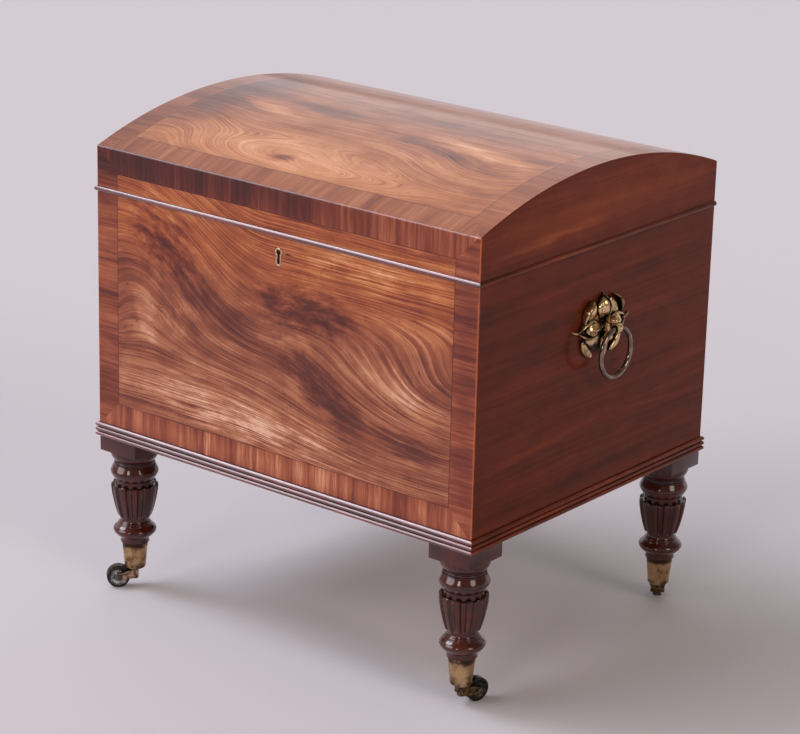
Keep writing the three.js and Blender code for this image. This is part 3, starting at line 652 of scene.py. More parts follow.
class Finish(Enum):
    """The finishes, each named by the real material and how it was made."""

    # Curled figure and mottled flecks: lit fibres beside dark clouds, deep under a clear gloss
    FRONT = Veneer(
        "crotch mahogany veneer, french polished", Plane.FRONT, FIGURED, 0.53, broad=(190, 11),
        contrast=(0.45, 0.55, 0.6, 0.5), growth=0.16, wander=5.0,
        bends=swells((-264.5, 530.4, 294.5, 226.6, -105, -31.8), (321.3, 376.2, 457.6, 155.8, 80, 9.4)),
        tones=swells(
            # The mottled corner, the dark middle and the dark sweep that runs down from them
            (-176, 484, 110, 60, -0.26, -35), (45, 455, 130, 45, -0.36, -4), (-60, 412, 150, 36, -0.24, -22),
            (85, 352, 130, 40, -0.36, -36), (215, 321, 95, 24, -0.34, -3),
            # The gold right of them, the pale patch at the left edge, the sweep along the foot, the top
            (215, 455, 90, 60, 0.1), (175, 388, 120, 36, 0.24, -24), (-222, 390, 34, 64, 0.3, 12),
            (-60, 296, 360, 50, 0.33, -3), (150, 528, 210, 36, 0.26), (-180, 548, 120, 22, 0.2, -12),
            # Cracks and dents
            (78, 515.5, 24, 0.8, -0.7, 77), (48, 472.5, 13, 1.2, -0.6, 64), (10.5, 327, 52, 0.7, -0.5, -87),
            (210.5, 279, 18, 0.9, -0.7, -46), (24, 519, 9, 4, -0.7), (-190, 412, 11, 1.4, -0.6, -6)),
        mottles=swells((-180, 492, 130, 80, 2.5, -35), (45, 455, 170, 66, 1.9), (60, 365, 150, 50, 1.5, -30),
                       (-150, 400, 100, 50, 1.1), (-40, 290, 340, 48, -1.3, -3),
                       (195, 395, 110, 60, -0.9, -24), (130, 524, 200, 46, -0.7)),
        border=((-269.5, 269.5), (263, 568.5)), upper=ORANGE, band=BANDED, band_tone=0.6,
        band_contrast=(1.0, 0.75, 0.4),
        band_tones=swells((-170, 592, 430, 60, -0.38), (0, 247, 700, 30, 0.16), (292, 400, 26, 260, -0.1)))
    # The same figure, bleached by daylight to tan, with less contrast
    TOP = Veneer(
        "crotch mahogany veneer, polished and faded", Plane.TOP, FADED, 0.5, broad=(190, 11),
        contrast=(0.4, 0.4, 0.55, 0.4), growth=0.1, wander=4.0, fray=(60, 26, 0),
        bends=swells((-48, -186, 190, 62, 75), (75, -200, 150, 46, 55), (210, -150, 190, 130, 45),
                     (-250, -150, 120, 110, -40)),
        tones=swells((-40, -175, 330, 75, 0.3, -3), (-48, -184, 34, 13, -0.5), (-90, -34, 130, 30, -0.26, -6),
                     (120, -84, 190, 20, -0.26, -15), (160, -62, 130, 22, 0.4, -12),
                     (-175, -62, 110, 20, 0.3, -16), (130, -125, 190, 16, 0.25, -13),
                     (60, 10, 260, 60, -0.16), (245, -50, 50, 26, -0.2), (-262, -30, 120, 210, -0.4)),
        border=((-269.5, 269.5), (-211, 211)), band=TAN_BAND, band_contrast=(0.7, 0.5, 0.35),
        # The second tone lightens the band along the back: a painted reflection of the pale wall on the
        # dome's back edge
        band_tones=swells((-290, -120, 60, 300, -0.16), (0, 230, 400, 60, 0.3)))
    # Long even streaks of red-brown under a thin, dull polish
    SIDE = Veneer(
        "straight-grained mahogany veneer, french polished", Plane.SIDE, STRAIGHT, 0.43, broad=(520, 26),
        contrast=(0.42, 0.26, 0.2, 0.3), growth=0.02, wander=9.0, fray=(70, 12, 0), rim=HALF_DEPTH,
        polish=0.16,
        tones=swells((0, 596, 460, 62, 0.26), (-100, 572, 200, 9, 0.22, 3), (0, 504, 300, 8, 0.16, 1),
                     (-120, 313, 190, 6, 0.14, 4), (130, 312, 140, 6, 0.16, -6), (0, 252, 360, 16, -0.12)))
    # Brown streaks with hardly any gloss
    BACK = SolidMahogany("plain mahogany board, stained", STRAIGHT, X_GRAIN, 0.15, 0.3, 0.5)
    # Dark red, with a thin bright line along each reed
    REEDED = SolidMahogany("carved mahogany moulding, polished", REDDISH, X_GRAIN, 1.0, roughness=0.3,
                           hollow_shade=0.8, specular=0.4, coat_ior=1.65)
    # The same moulding, browner and duller
    MOULDED = SolidMahogany("carved mahogany moulding, its polish worn", STRAIGHT, Y_GRAIN, 0.3,
                            roughness=0.4, hollow_shade=0.6, specular=0.1)
    # Almost black in its grooves, where shade is painted in, with small sharp highlights on the turnings
    TURNED = SolidMahogany("turned mahogany, dark polished", DARK, Z_GRAIN, gloss=0.07, hollow_shade=1.0, reach=10.0,
                           streaks=(0.5, 0.3, 0.5), specular=0.1)
    # As dark as the legs, with broad soft highlights
    BLOCK = SolidMahogany("sawn mahogany block, dark polished", DARK, Z_GRAIN, 0.6, hollow_shade=0.2,
                          streaks=(0.5, 0.3, 0.5))
    # Mid brown with the soft sheen of wax
    INSIDE = SolidMahogany("planed mahogany board, waxed", PLAIN, Z_GRAIN, 0.1, 0.4, 0.55, 0.2)
    SHELF = SolidMahogany("planed mahogany board, waxed, grain along x", PLAIN, X_GRAIN, 0.1, 0.4, 0.55, 0.2)
    # Honey-coloured, darker in bands at the collar and at the foot
    CAP = AgedMetal("turned brass, lacquered and browned", "#c19e76", "#a68660", "#472c1f", 17.0, 0.34,
                    (0.28, 0.5), zones=((62.0, 8.0, 0.3), (30.0, 6.0, 0.16)))
    # Pale and coppery, a copy of the browned brass painted as lit, near black in its corners with painted
    # shade
    HORN = AgedMetal("cast brass, coppery, painted as lit", "#b9977a", "#866b55", "#2d1f17", 6.0, 0.4, (0.25, 0.5))
    # Brown all over, with little bare metal
    BROWNED = AgedMetal("cast brass, browned", "#7d6544", "#57452f", "#1f1711", 6.0, 0.45, (0.3, 0.5))
    # A clean pale line round the keyhole
    ESCUTCHEON = AgedMetal("sheet brass, rubbed pale", "#e2cdb0", "#bfa688", "#7a6552", 6.0, 0.2, (0.3, 0.45))
    # Pale gold on what stands out, near black between the leaves, where shade is painted in
    HANDLE = AgedMetal("cast brass, dark in its hollows", "#dcbc8f", "#b7976a", "#15100f", 11.0, 0.36,
                       (0.16, 0.4), 10.0)
    # Dark brown with a few specks of brass: tarnish, and painted shade on the faces deep between the leaves
    HOLLOW = AgedMetal("cast brass, tarnished, with painted shade", "#6b543a", "#3d2f24", "#15100f", 6.0, 0.5,
                       (0.25, 0.5), 10.0)
    # Grey-brown, smooth and bright from hands
    RING = AgedMetal("drawn brass, bronzed by handling", "#8f7e6e", "#76685c", "#2b231f", 14.0, 0.28,
                     (0.14, 0.3))
    # Mid grey with a satin gloss
    STEEL = AgedMetal("filed steel, dull", "#8b867d", "#645f58", "#35281f", 10.0, 0.35, (0.35, 0.55))
    # Near black, with a dull gloss
    WHEEL = AgedMetal("turned iron, browned", "#4a4541", "#332d29", "#1c1512", 7.0, 0.4, (0.35, 0.6))
    # Light grey, a copy of the wheel's dark iron painted as lit
    DISH = AgedMetal("turned iron, grey, painted as lit", "#b6babc", "#85888a", "#332c28", 6.0, 0.3, (0.3, 0.5))


@cache
def finished(kind: Finish) -> bpy.types.Material:
    """Returns a finish's material, which is made when it is first asked for."""
    return kind.value.build()


# Pieces


def added(name: str, data: bpy.types.ID) -> bpy.types.Object:
    """Returns a new object of the scene that holds the data."""
    thing = bpy.data.objects.new(name, data)
    bpy.context.scene.collection.objects.link(thing)
    return thing


def cleaned(mesh: bpy.types.Mesh, flat: bool = False) -> bpy.types.Mesh:
    """Merges a mesh's doubles and turns its faces outwards.

    Args:
        mesh: The mesh, which is changed.
        flat: Whether the faces of a plane part become one.

    Returns:
        The same mesh.
    """
    shell = bmesh.new()
    shell.from_mesh(mesh)
    bmesh.ops.remove_doubles(shell, verts=shell.verts, dist=1e-6)
    if flat:
        bmesh.ops.dissolve_limit(shell, angle_limit=math.radians(1.0), verts=shell.verts, edges=shell.edges)
    bmesh.ops.recalc_face_normals(shell, faces=shell.faces)
    shell.to_mesh(mesh)
    shell.free()
    return mesh


def shade(piece: bpy.types.Object, crease: float) -> None:
    """Shades a piece smooth, with corners where its faces meet at more than crease degrees."""
    piece.data.polygons.foreach_set("use_smooth", [True] * len(piece.data.polygons))
    piece.data.set_sharp_from_angle(angle=math.radians(crease))


def tie(piece: bpy.types.Object, body: str, node: str,
        finishes: Sequence[Finish]) -> bpy.types.Object:
    """Gives a piece its finishes, ties it to the frame and reports it.

    Args:
        piece: The object.
        body: The body of the frame that it rides on.
        node: The frame's node that it stands for, or an empty name.
        finishes: Its finishes.

    Returns:
        The same object.
    """
    for kind in finishes:
        piece.data.materials.append(finished(kind))
    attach(piece, body)
    if node:
        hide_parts(node)
    log.info("%s rides on %s", piece.name, body)
    return piece


def make_piece(name: str, form: Form, body: str, node: str, finishes: Sequence[Finish],
               crease: float = 35.0) -> bpy.types.Object:
    """Makes an object from a form and ties it to the frame.

    Args:
        name: The object's name.
        form: Its surfaces.
        body: The body of the frame that it rides on.
        node: The frame's node that it stands for, or an empty name.
        finishes: Its finishes. All faces start with the first.
        crease: Edges sharper than this angle, in degrees, are shaded as corners.

    Returns:
        The object.
    """
    piece = added(name, cleaned(form.mesh(name)))
    shade(piece, crease)
    return tie(piece, body, node, finishes)


def soft_copy(node: str, finish: Finish, rounding: float) -> None:
    """Copies a node of the frame with its edges rounded, and lets the copy stand for it.

    Args:
        node: The frame's node.
        finish: The copy's finish.
        rounding: The width of the rounded edges.
    """
    source = frame["nodes"][node]
    mesh = cleaned(source.data.copy(), flat=True)
    mesh.materials.clear()
    piece = added(f"{node}_finished", mesh)
    bevel = piece.modifiers.new("rounded edges", "BEVEL")
    bevel.width, bevel.segments, bevel.harden_normals = rounding * MM, 2, True
    bevel.limit_method, bevel.angle_limit = "ANGLE", math.radians(40)
    shade(piece, 40.0)
    tie(piece, source["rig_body"], node, [finish])


def cut_away(piece: bpy.types.Object, forms: Sequence[Form]) -> None:
    """Takes closed forms out of a piece.

    Args:
        piece: The object. Its new faces get the finish of the faces beside them.
        forms: What is taken out, one after the other.
    """
    for form in forms:
        cutter = added("cutter", cleaned(form.mesh("cutter")))
        boolean = piece.modifiers.new("cut", "BOOLEAN")
        boolean.operation, boolean.object = "DIFFERENCE", cutter
        cut = bpy.data.meshes.new_from_object(piece.evaluated_get(bpy.context.evaluated_depsgraph_get()))
        piece.modifiers.clear()
        piece.data = cut
        bpy.data.objects.remove(cutter)


def finish_faces(piece: bpy.types.Object, chosen: Callable[[Array, Array], Array]) -> None:
    """Gives some faces of a piece its second finish.

    Args:
        piece: The object.
        chosen: Tells from the faces' centres, in millimetres, and their normals which faces get it.
    """
    polygons = piece.data.polygons
    centres, normals = np.empty(len(polygons) * 3), np.empty(len(polygons) * 3)
    polygons.foreach_get("center", centres)
    polygons.foreach_get("normal", normals)
    numbers = np.zeros(len(polygons), np.int32)
    polygons.foreach_get("material_index", numbers)
    numbers[chosen(centres.reshape(-1, 3) / MM, normals.reshape(-1, 3))] = 1
    polygons.foreach_set("material_index", numbers)


# The case and the lid


@dataclass(frozen=True)
class Side:
    """One side of the case: half its length, its distance from the middle, and its turn from the front."""

    name: str
    turn: float
    half: float
    distance: float
    finish: Finish
    moulded: Finish = Finish.MOULDED

    def run(self, section: Knots, soft: float = 0.5, stations: int = 3, square: Sequence[int] = (),
            lift: Callable[[Array], Array] | None = None) -> Form:
        """Carries a section along the side, with mitred ends whose outer corner is rounded.

        A point that lies inset d runs straight to the last soft millimetres, where it goes round an eighth of
        a circle: x = half - d - soft + soft sin a, y = d + soft - soft cos a - distance.

        Args:
            section: Rows of (inset, height, share). The share says how far the point follows lift.
            soft: The corner's radius.
            stations: Rows of points along the straight part.
            square: Ends that are cut off square: 0 for the left one and 1 for the right one.
            lift: Gives the height that is added, from y in the frame.

        Returns:
            The form, in the frame.
        """
        inset, height, share = np.array(section).T
        angle = np.linspace(0, math.pi / 4, 4)
        straight = np.linspace(-1, 1, stations)[1:-1]
        ways = np.concatenate([np.full(4, -1.0), straight, np.full(4, 1.0)])[:, None]
        turn = np.concatenate([angle[::-1], np.zeros(stations - 2), angle])[:, None]
        x = ways * (self.half - inset - soft + soft * np.sin(turn))
        y = inset + soft - soft * np.cos(turn) - self.distance
        for end in square:
            rows = slice(0, 4) if end == 0 else slice(-4, None)
            reach = self.half - np.linspace(3, 0, 4)[:, None] * 0.2
            x[rows] = (2 * end - 1) * (reach[::-1] if end == 0 else reach)
            y[rows] = inset - self.distance
        form = Form.grid(np.stack([x, y, np.broadcast_to(height, x.shape)], axis=-1)).placed(self.turn)
        if lift is None:
            return form
        shares = np.tile(share, len(x))
        return form.mapped(lambda points: points + np.outer(shares * lift(points[:, 1]), (0.0, 0.0, 1.0)))

    def board(self, name: str, body: str, node: str, form: Form, cuts: Sequence[Form]) -> None:
        """Makes a wall of the case or of the lid, with the side's finish outside and another inside.

        Args:
            name: The object's name.
            body: The body of the frame that it rides on.
            node: The frame's node that it stands for.
            form: The uncut wall.
            cuts: What the fittings take out of it.
        """
        piece = make_piece(name, form, body, node, [self.finish, Finish.INSIDE])
        cut_away(piece, cuts)
        inner_x, inner_y = HALF_WIDTH - BOARD + 0.1, HALF_DEPTH - BOARD + 0.1
        finish_faces(piece, lambda at, _: (np.abs(at[:, 0]) < inner_x) & (np.abs(at[:, 1]) < inner_y))
        # The large flat faces keep their own direction beside the narrow rounded edges
        shade(piece, 60.0)
        piece.modifiers.new("flat faces", "WEIGHTED_NORMAL").keep_sharp = True


SIDES = (
    Side("front", 0.0, HALF_WIDTH, HALF_DEPTH, Finish.FRONT, Finish.REEDED),
    Side("right", 90.0, HALF_DEPTH, HALF_WIDTH, Finish.SIDE),
    Side("back", 180.0, HALF_WIDTH, HALF_DEPTH, Finish.BACK),
    Side("left", 270.0, HALF_DEPTH, HALF_WIDTH, Finish.SIDE),
)


def nosing(low: float, high: float, projection: float, steps: int) -> list[Vec]:
    """Returns section points on a half ellipse that swells outwards.

    Args:
        low: The height where it starts.
        high: The height where it ends.
        projection: How far it stands out.
        steps: Steps from low to high.

    Returns:
        Rows of (inset, height, 0).
    """
    turn = np.linspace(0, math.pi, steps + 1)
    inset, height = -projection * np.sin(turn), (low + high) / 2 - (high - low) / 2 * np.cos(turn)
    return [(float(d), float(z), 0.0) for d, z in zip(inset, height)]


def hinge_cuts(way: int) -> list[Form]:
    """Returns what the hinges' leaves and knuckles take out of the lid (way 1) or of the case (way -1)."""
    low, high = (CASE_TOP - 2.1, 543.5) if way < 0 else (539.0, LID_BOTTOM + 2.1)
    cuts = []
    for x in (-HINGE_X, HINGE_X):
        left, right = x - 29.3, x + 29.3
        cuts.append(rounded_box((left, 229.4, low), (right, 247.0, high), 0.05, 1))
        cuts.append(rounded_box((left, 241.3, 537.75), (right, 249.0, 544.55), 0.05, 1))
    return cuts


@dataclass(frozen=True)
class Keyhole:
    """The keyhole's outline and the brass line that is let in round it."""

    head_z: float = 521.5
    head_radius: float = 3.4
    slot: float = 4.2
    height: float = 18.4
    wall: float = 2.3

    def outline(self, grow: float) -> Array:
        """Returns the outline in (x, z), grown all round: a circle above a slot with a round foot."""
        head, slot = self.head_radius + grow, self.slot / 2 + grow
        foot = self.head_z + self.head_radius - self.height + self.slot / 2
        start = math.acos(slot / head)
        round_head = np.linspace(-start, math.pi + start, 33)
        round_foot = np.linspace(math.pi, 2 * math.pi, 17)
        above = np.stack([head * np.cos(round_head), self.head_z + head * np.sin(round_head)], axis=-1)
        below = np.stack([slot * np.cos(round_foot), foot + slot * np.sin(round_foot)], axis=-1)
        return np.vstack([above, below])

    def swept(self, section: Sequence[Pair], wrap: bool = False) -> Form:
        """Carries a section of (grow, y) round the outline."""
        return Form.grid(np.stack([np.insert(self.outline(grow), 1, y, axis=1) for grow, y in section]), wrap)

    def cuts(self) -> list[Form]:
        """Returns what the front panel loses to the escutcheon, the key and the lock."""
        grown = self.wall + 0.15
        band, key = [(grown, -246.0), (grown, -240.8)], [(0.0, -242.0), (0.0, -230.0)]
        lock = rounded_box((-35.3, -237.3, 492.7), (35.3, -226.0, 543.0), 0.05, 1)
        return [self.swept(band), self.swept(key), lock]

    def build(self) -> None:
        """Makes the escutcheon: a band with a softly rounded front."""
        wall = self.wall
        band = [(0.0, -241.0), (0.0, -243.8), (0.3, -244.25), (wall / 2, -244.45), (wall - 0.3, -244.3),
                (wall, -243.9), (wall, -241.0)]
        make_piece("escutcheon", self.swept(band, True), "root", "keyhole_escutcheon",
                   [Finish.ESCUTCHEON], crease=50.0)


@dataclass(frozen=True)
class Case:
    """The box: four mitred walls on a reeded base, a bottom, and divisions for the bottles."""

    moulding_depth: float = 26.0
    reeds: int = 3
    reed_projection: float = 3.8

    def build(self) -> None:
        """Makes the case's pieces."""
        for side in SIDES:
            self.moulding(side)
            self.wall(side)
        for number in (1, 2, 3):
            soft_copy(f"cross_divider_{number}", Finish.INSIDE, 0.8)
        for number in (1, 2):
            soft_copy(f"long_divider_{number}", Finish.SHELF, 0.8)
        soft_copy("bottom_board", Finish.SHELF, 0.5)
        Keyhole().build()
        log.info("case: %d walls on %d reeds", len(SIDES), self.reeds)

    def moulding(self, side: Side) -> None:
        """Makes one side's base moulding: reeds one above the other."""
        heights = np.linspace(BASE, CASE_FLOOR, self.reeds + 1)
        points = [(self.moulding_depth, BASE, 0.0)]
        for low, high in zip(heights[:-1], heights[1:]):
            points += nosing(low, high, self.reed_projection, 14)
        form = side.run([*points, (self.moulding_depth, CASE_FLOOR, 0.0)])
        make_piece(f"reeding_{side.name}", form, "root", f"base_moulding_{side.name}",
                   [side.moulded], crease=60.0)

    def wall(self, side: Side) -> None:
        """Makes one side's wall."""
        low, rounding = CASE_FLOOR + 0.3, 0.6
        section = [(BOARD, low, 0), (0.3, low, 0), (0, low + 0.3, 0), (0, CASE_TOP - rounding, 0),
                   (0.18, CASE_TOP - 0.18, 0), (rounding, CASE_TOP, 0), (BOARD - 0.4, CASE_TOP, 0),
                   (BOARD, CASE_TOP - 0.4, 0)]
        node = {"front": "front_panel", "back": "back_panel"}.get(side.name, f"{side.name}_side_panel")
        cuts = {"front": Keyhole().cuts, "back": lambda: hinge_cuts(-1)}.get(side.name, list)()
        side.board(f"wall_{side.name}", "root", node, side.run(section, soft=1.3), cuts)


@dataclass(frozen=True)
class Lid:
    """The domed lid: a rim of four mitred boards, a curved top, and a bead round three sides."""

    rise: float = 44.0
    thickness: float = 12.0
    bead_height: float = 6.3
    bead_projection: float = 2.8
    bead_depth: float = 4.0
    rounding: float = 1.6

    @property
    def radius(self) -> float:
        """The radius of the dome's arc, from its chord and rise: (half depth^2 + rise^2) / (2 rise)."""
        return (HALF_DEPTH**2 + self.rise**2) / (2 * self.rise)

    def swell(self, y: Array) -> Array:
        """Returns how far the dome stands over its arris: sqrt(radius^2 - y^2) less the same at the edge."""
        edge = math.sqrt(self.radius**2 - HALF_DEPTH**2)
        return np.sqrt(self.radius**2 - np.clip(y, -HALF_DEPTH, HALF_DEPTH) ** 2) - edge

    def build(self) -> None:
        """Makes the lid's pieces."""
        for side in SIDES:
            self.rim(side)
            if side.name != "back":
                self.bead(side)
        self.dome()
        log.info("lid: dome of radius %.0f mm", self.radius)

    def rim(self, side: Side) -> None:
        """Makes one side of the rim. Its upper edge is rounded over the curve of the dome."""
        r, under = self.rounding, ARRIS - self.thickness
        quarter = np.linspace(0, math.pi / 2, 6)
        edge = [(r * (1 - math.cos(a)), ARRIS - r + r * math.sin(a), 1) for a in quarter]
        inset, rebate = self.bead_depth + 0.1, LID_BOTTOM + self.bead_height + 0.1
        foot = [(inset, LID_BOTTOM, 0), (inset, rebate, 0), (0, rebate, 0)]
        if side.name == "back":
            foot = [(0, LID_BOTTOM, 0)]
        section = [(BOARD, LID_BOTTOM, 0), *foot, *edge, (r, under, 1), (BOARD, under, 1)]
        form = side.run(section, soft=1.3, stations=61, lift=self.swell)
        cuts = hinge_cuts(1) if side.name == "back" else []
        if side.name == "front":
            cuts = [rounded_box((-22.3, -237.3, 539.0), (22.3, -227.7, 543.6), 0.05, 1)]
        part = "rail" if side.name in ("front", "back") else "end"
        side.board(f"rim_{side.name}", "lid", f"lid_{side.name}_{part}", form, cuts)

    def bead(self, side: Side) -> None:
        """Makes the bead along one side's lower edge. It stops square at the back."""
        low, high = LID_BOTTOM, LID_BOTTOM + self.bead_height
        nose = nosing(low, high, self.bead_projection, 16)
        section = [(self.bead_depth, low, 0.0), *nose, (self.bead_depth, high, 0.0)]
        form = side.run(section, square={"right": (1,), "left": (0,)}.get(side.name, ()))
        make_piece(f"bead_{side.name}", form, "lid", f"lid_bead_{side.name}",
                   [side.moulded], crease=60.0)

    def dome(self) -> None:
        """Makes the curved top between the rims' rounded edges: z = arris + swell(y), and a skin below it."""
        y = np.linspace(-1, 1, 97) * (HALF_DEPTH - self.rounding)
        over = ARRIS + self.swell(y)
        under = np.stack([y, over - self.thickness], axis=-1)[::-1]
        loop = np.concatenate([np.stack([y, over], axis=-1), under])
        end = HALF_WIDTH - self.rounding
        form = Form.grid(np.stack([np.insert(loop, 0, x, axis=1) for x in (-end, end)]))
        piece = make_piece("dome", form, "lid", "lid_dome", [Finish.TOP, Finish.SHELF])
        finish_faces(piece, lambda _, normal: normal[:, 2] < -0.5)


# The legs and the casters


@dataclass(frozen=True)
class Leg:
    """A turned and reeded leg below a square block, in a brass cap that holds the caster's pin."""

    corner: str
    reed_turn: float
    block: float = 63.0
    block_top: float = 211.7
    block_bottom: float = 192.0
    reeds: int = 12
    flute: float = 3.8
    crown: float = 1.7
    tooth: float = 3.2

    @property
    def axis(self) -> Vec:
        """The leg's axis, from the corner's name."""
        depth, hand = self.corner.split("_")
        return HANDS[hand] * 273.0, -212.0 if depth == "front" else 212.0, 0.0

    def build(self) -> None:
        """Makes the leg and its cap."""
        self.wood()
        self.cap()

    def reeding(self, profile: Array, angle: Array) -> Array:
        """Gives what the reeds add to the leg's profile.

        Across a reed u runs from -1 to 1. Its face is crowned by crown u^2, and beyond 0.4 it falls into the
        hollow groove, whose share is 1 - (1 - s)^3 where s rises to 1 in the groove's middle. There the
        radius is flute smaller and the tooth at the top of the cup is cut away.

        Args:
            profile: Radius, height, and the depths of the reeds and of the gaps between their tips.
            angle: The places round the leg.

        Returns:
            What is added to (radius, height).
        """
        across = (angle * self.reeds / (2 * math.pi)) % 1 * 2 - 1
        groove = 1 - (1 - np.clip((np.abs(across) - 0.4) / 0.6, 0, 1)) ** 3
        radius = -profile[..., 2] * (self.flute * groove + self.crown * across**2 * (1 - groove))
        return np.stack([radius, -profile[..., 3] * self.tooth * groove], axis=-1)

    def reed_angles(self) -> Array:
        """Returns the columns' places, the same across each reed and close together where a groove begins."""
        half = np.array([0.19, 0.37, 0.42, 0.47, 0.54, 0.63, 0.76, 0.93])
        across = np.concatenate([-half[::-1], [0.0], half])
        return ((np.arange(self.reeds)[:, None] + (across + 1) / 2) * 2 * math.pi / self.reeds).ravel()

    def wood(self) -> None:
        """Makes the turned leg and its block as one piece."""
        # Radius, height, and if not 0 the depths of the reeds and of the gaps between their tips, from the
        # block down to the cap. A corner ends each run: the neck, the torus, the throat, the cup, the waist.
        knots = cornered(
            [(30.9, 192.2)],
            [(31.1, 190.0), (31.0, 187.8)],
            [(29.9, 184.6), (27.8, 181.4), (26.4, 179.6)],
            [(25.7, 179.3), (25.6, 178.2)],
            [(26.5, 177.8), (26.8, 176.9), (26.5, 176.0)],
            [(25.8, 175.7), (25.8, 175.0)],
            [(27.0, 174.7), (27.2, 174.0), (27.0, 173.4)],
            [(27.6, 172.9), (29.3, 169.6), (30.9, 166.2), (31.4, 163.8), (31.0, 161.4), (29.3, 158.0),
             (27.4, 154.9), (25.9, 152.9)],
            [(25.1, 152.5), (24.9, 150.0), (24.8, 147.0), (24.6, 143.8)],
            [(26.4, 143.6)],
            [(27.3, 144.6, 0.1, 0.4), (28.1, 145.9, 0.3, 0.95)],
            [(28.7, 146.5, 0.5, 1), (29.8, 146.2, 0.8, 1), (30.6, 145.3, 1, 1)],
            [(31.0, 143.4, 1, 0.7), (30.8, 139.8, 1, 0.2), (29.7, 131.6, 1), (27.5, 120.2, 1),
             (24.9, 110.0, 0.95), (22.4, 102.4, 0.85), (21.9, 101.0, 0.8)],
            [(20.8, 100.2, 0.4), (18.9, 99.5)],
            [(18.5, 97.6), (18.7, 95.4), (19.5, 93.7)],
            [(20.2, 93.2), (20.5, 92.2)],
            [(21.1, 91.6), (21.4, 90.6)],
            [(22.4, 90.1), (22.9, 88.9)],
            [(24.4, 87.6), (26.6, 85.6), (28.0, 83.4), (28.3, 81.4), (27.5, 78.9), (25.4, 76.0), (22.4, 73.4),
             (19.8, 71.4)],
            [(19.0, 70.9), (18.8, 68.0), (18.9, 64.7)],
            [(15.1, 64.3)],
            [(12.2, 32.0)],
        )
        profile = smooth_curve([(*knot, 0, 0)[:4] for knot in knots], 3)
        turned = lathe(profile, self.reed_angles(), self.reeding).placed(self.reed_turn + 15.0)
        half = self.block / 2
        block = rounded_box((-half, -half, self.block_bottom), (half, half, self.block_top), 0.9)
        piece = make_piece(f"turned_leg_{self.corner}", (turned + block).placed(0.0, self.axis), "root",
                           f"leg_{self.corner}", [Finish.TURNED, Finish.BLOCK],
                           crease=40.0)
        finish_faces(piece, lambda at, _: at[:, 2] > self.block_bottom)

    def cap(self) -> None:
        """Makes the brass cap with the caster's pin riveted below it."""
        knots = cornered(
            [(0.0, 10.4), (3.0, 10.4), (3.2, 10.6), (3.2, 11.4), (1.8, 11.4), (1.8, 26.0)],
            [(9.6, 26.0)],
            [(11.6, 26.5), (12.9, 27.9), (13.6, 29.6)],
            [(13.9, 30.0), (13.95, 30.8)],
            [(17.0, 62.6)],
            [(17.35, 62.9), (17.4, 63.6), (17.0, 64.0), (15.7, 64.0)],
            [(12.6, 30.0)],
            [(0.0, 30.0)],
        )
        form = lathe(smooth_curve(knots, 5), round_angles(72)).placed(0.0, self.axis)
        make_piece(f"cap_{self.corner}", form, "root", f"leg_cap_{self.corner}", [Finish.CAP],
                   crease=45.0)


@dataclass(frozen=True)
class Caster:
    """A caster: a forked horn that swivels under the cap, an axle and a dished wheel."""

    leg: Leg
    heading: float
    horn: Finish = Finish.BROWNED
    dish: Finish = Finish.WHEEL
    trail: float = 22.5
    radius: float = 15.2
    width: float = 11.0
    bore: float = 2.3
    hollow: Pair = (4.7, 12.1)

    def build(self) -> None:
        """Makes the caster's pieces."""
        corner = self.leg.corner
        soft_copy(f"caster_horn_{corner}", self.horn, 0.5)
        soft_copy(f"caster_axle_{corner}", Finish.STEEL, 0.25)
        self.wheel()

    def wheel(self) -> None:
        """Makes the wheel: a closed profile turned about its axle, with a dished face and a rounded tread."""
        edge, rim = self.width / 2, self.radius
        half = cornered(
            [(self.bore, -edge), (4.6, -edge)],
            [(5.2, -edge + 0.5), (6.0, -3.6), (7.4, -3.1), (9.6, -3.4), (11.0, -4.3), (11.6, -5.0),
             (12.2, -edge)],
            [(14.2, -edge), (14.9, -edge + 0.35), (rim, -edge + 1.0)],
            [],
        )
        profile = smooth_curve(half + [(r, -z) for r, z in half[::-1]], 4)
        ring = lathe(profile, round_angles(64), wrap=True)
        upright = ring.mapped(lambda at: at[:, [0, 2, 1]] * (1, -1, 1) + (self.trail, 0.0, self.radius))
        piece = make_piece(f"wheel_{self.leg.corner}", upright.placed(self.heading, self.leg.axis),
                           f"wheel_{self.leg.corner}", f"caster_wheel_{self.leg.corner}",
                           [Finish.WHEEL, self.dish], crease=50.0)
        finish_faces(piece, self.dished)

    def dished(self, at: Array, _: Array) -> Array:
        """Tells which faces lie in the wheel's hollow, between its hub and its rim.

        Args:
            at: The faces' centres.

        Returns:
            Whether each face does.
        """
        turn = math.radians(self.heading)
        along = (at[:, :2] - self.leg.axis[:2]) @ (math.cos(turn), math.sin(turn)) - self.trail
        reach = np.hypot(along, at[:, 2] - self.radius)
        return (reach > self.hollow[0]) & (reach < self.hollow[1])


# The lock, the hinges and the handles


def screw_heads(name: str, body: str, facing: int, middle: Vec, spots: Sequence[float],
                radius: float) -> None:
    """Makes the heads of a row of screws: each is a dark disc, painted shade in the slot and round the head,
    under two halves that leave the slot open.

    Args:
        name: The piece's name.
        body: The body of the frame that they ride on.
        facing: 1 where they face up, and -1 where they face down.
        middle: The row's middle in the face that they lie in.
        spots: The screws' places from there, in x.
        radius: The heads' radius.
    """
    flat = round_angles(32)
    disc = np.stack([radius * np.cos(flat), radius * np.sin(flat)], axis=-1)
    half = disc[disc[:, 1] > 0.14 * radius]
    form = Form(np.empty((0, 3)), [])
    for number, spot in enumerate(spots):
        place = np.array(middle) + (spot, 0.0, 0.0)
        for outline, top in ((disc, 0.03), (half, 0.1), (-half, 0.1)):
            levels = [np.insert(outline, 2, facing * height, axis=1) for height in (-0.4, top)]
            form = form + Form.grid(np.stack(levels)).placed(35.0 + 50.0 * number, place)
    piece = make_piece(name, form, body, "", [Finish.WHEEL, Finish.STEEL])
    # Painted shade: only the tops of the halves are steel, and the slot and the heads' sides stay near black
    finish_faces(piece, lambda at, _: (at[:, 2] - middle[2]) * facing > 0.06)


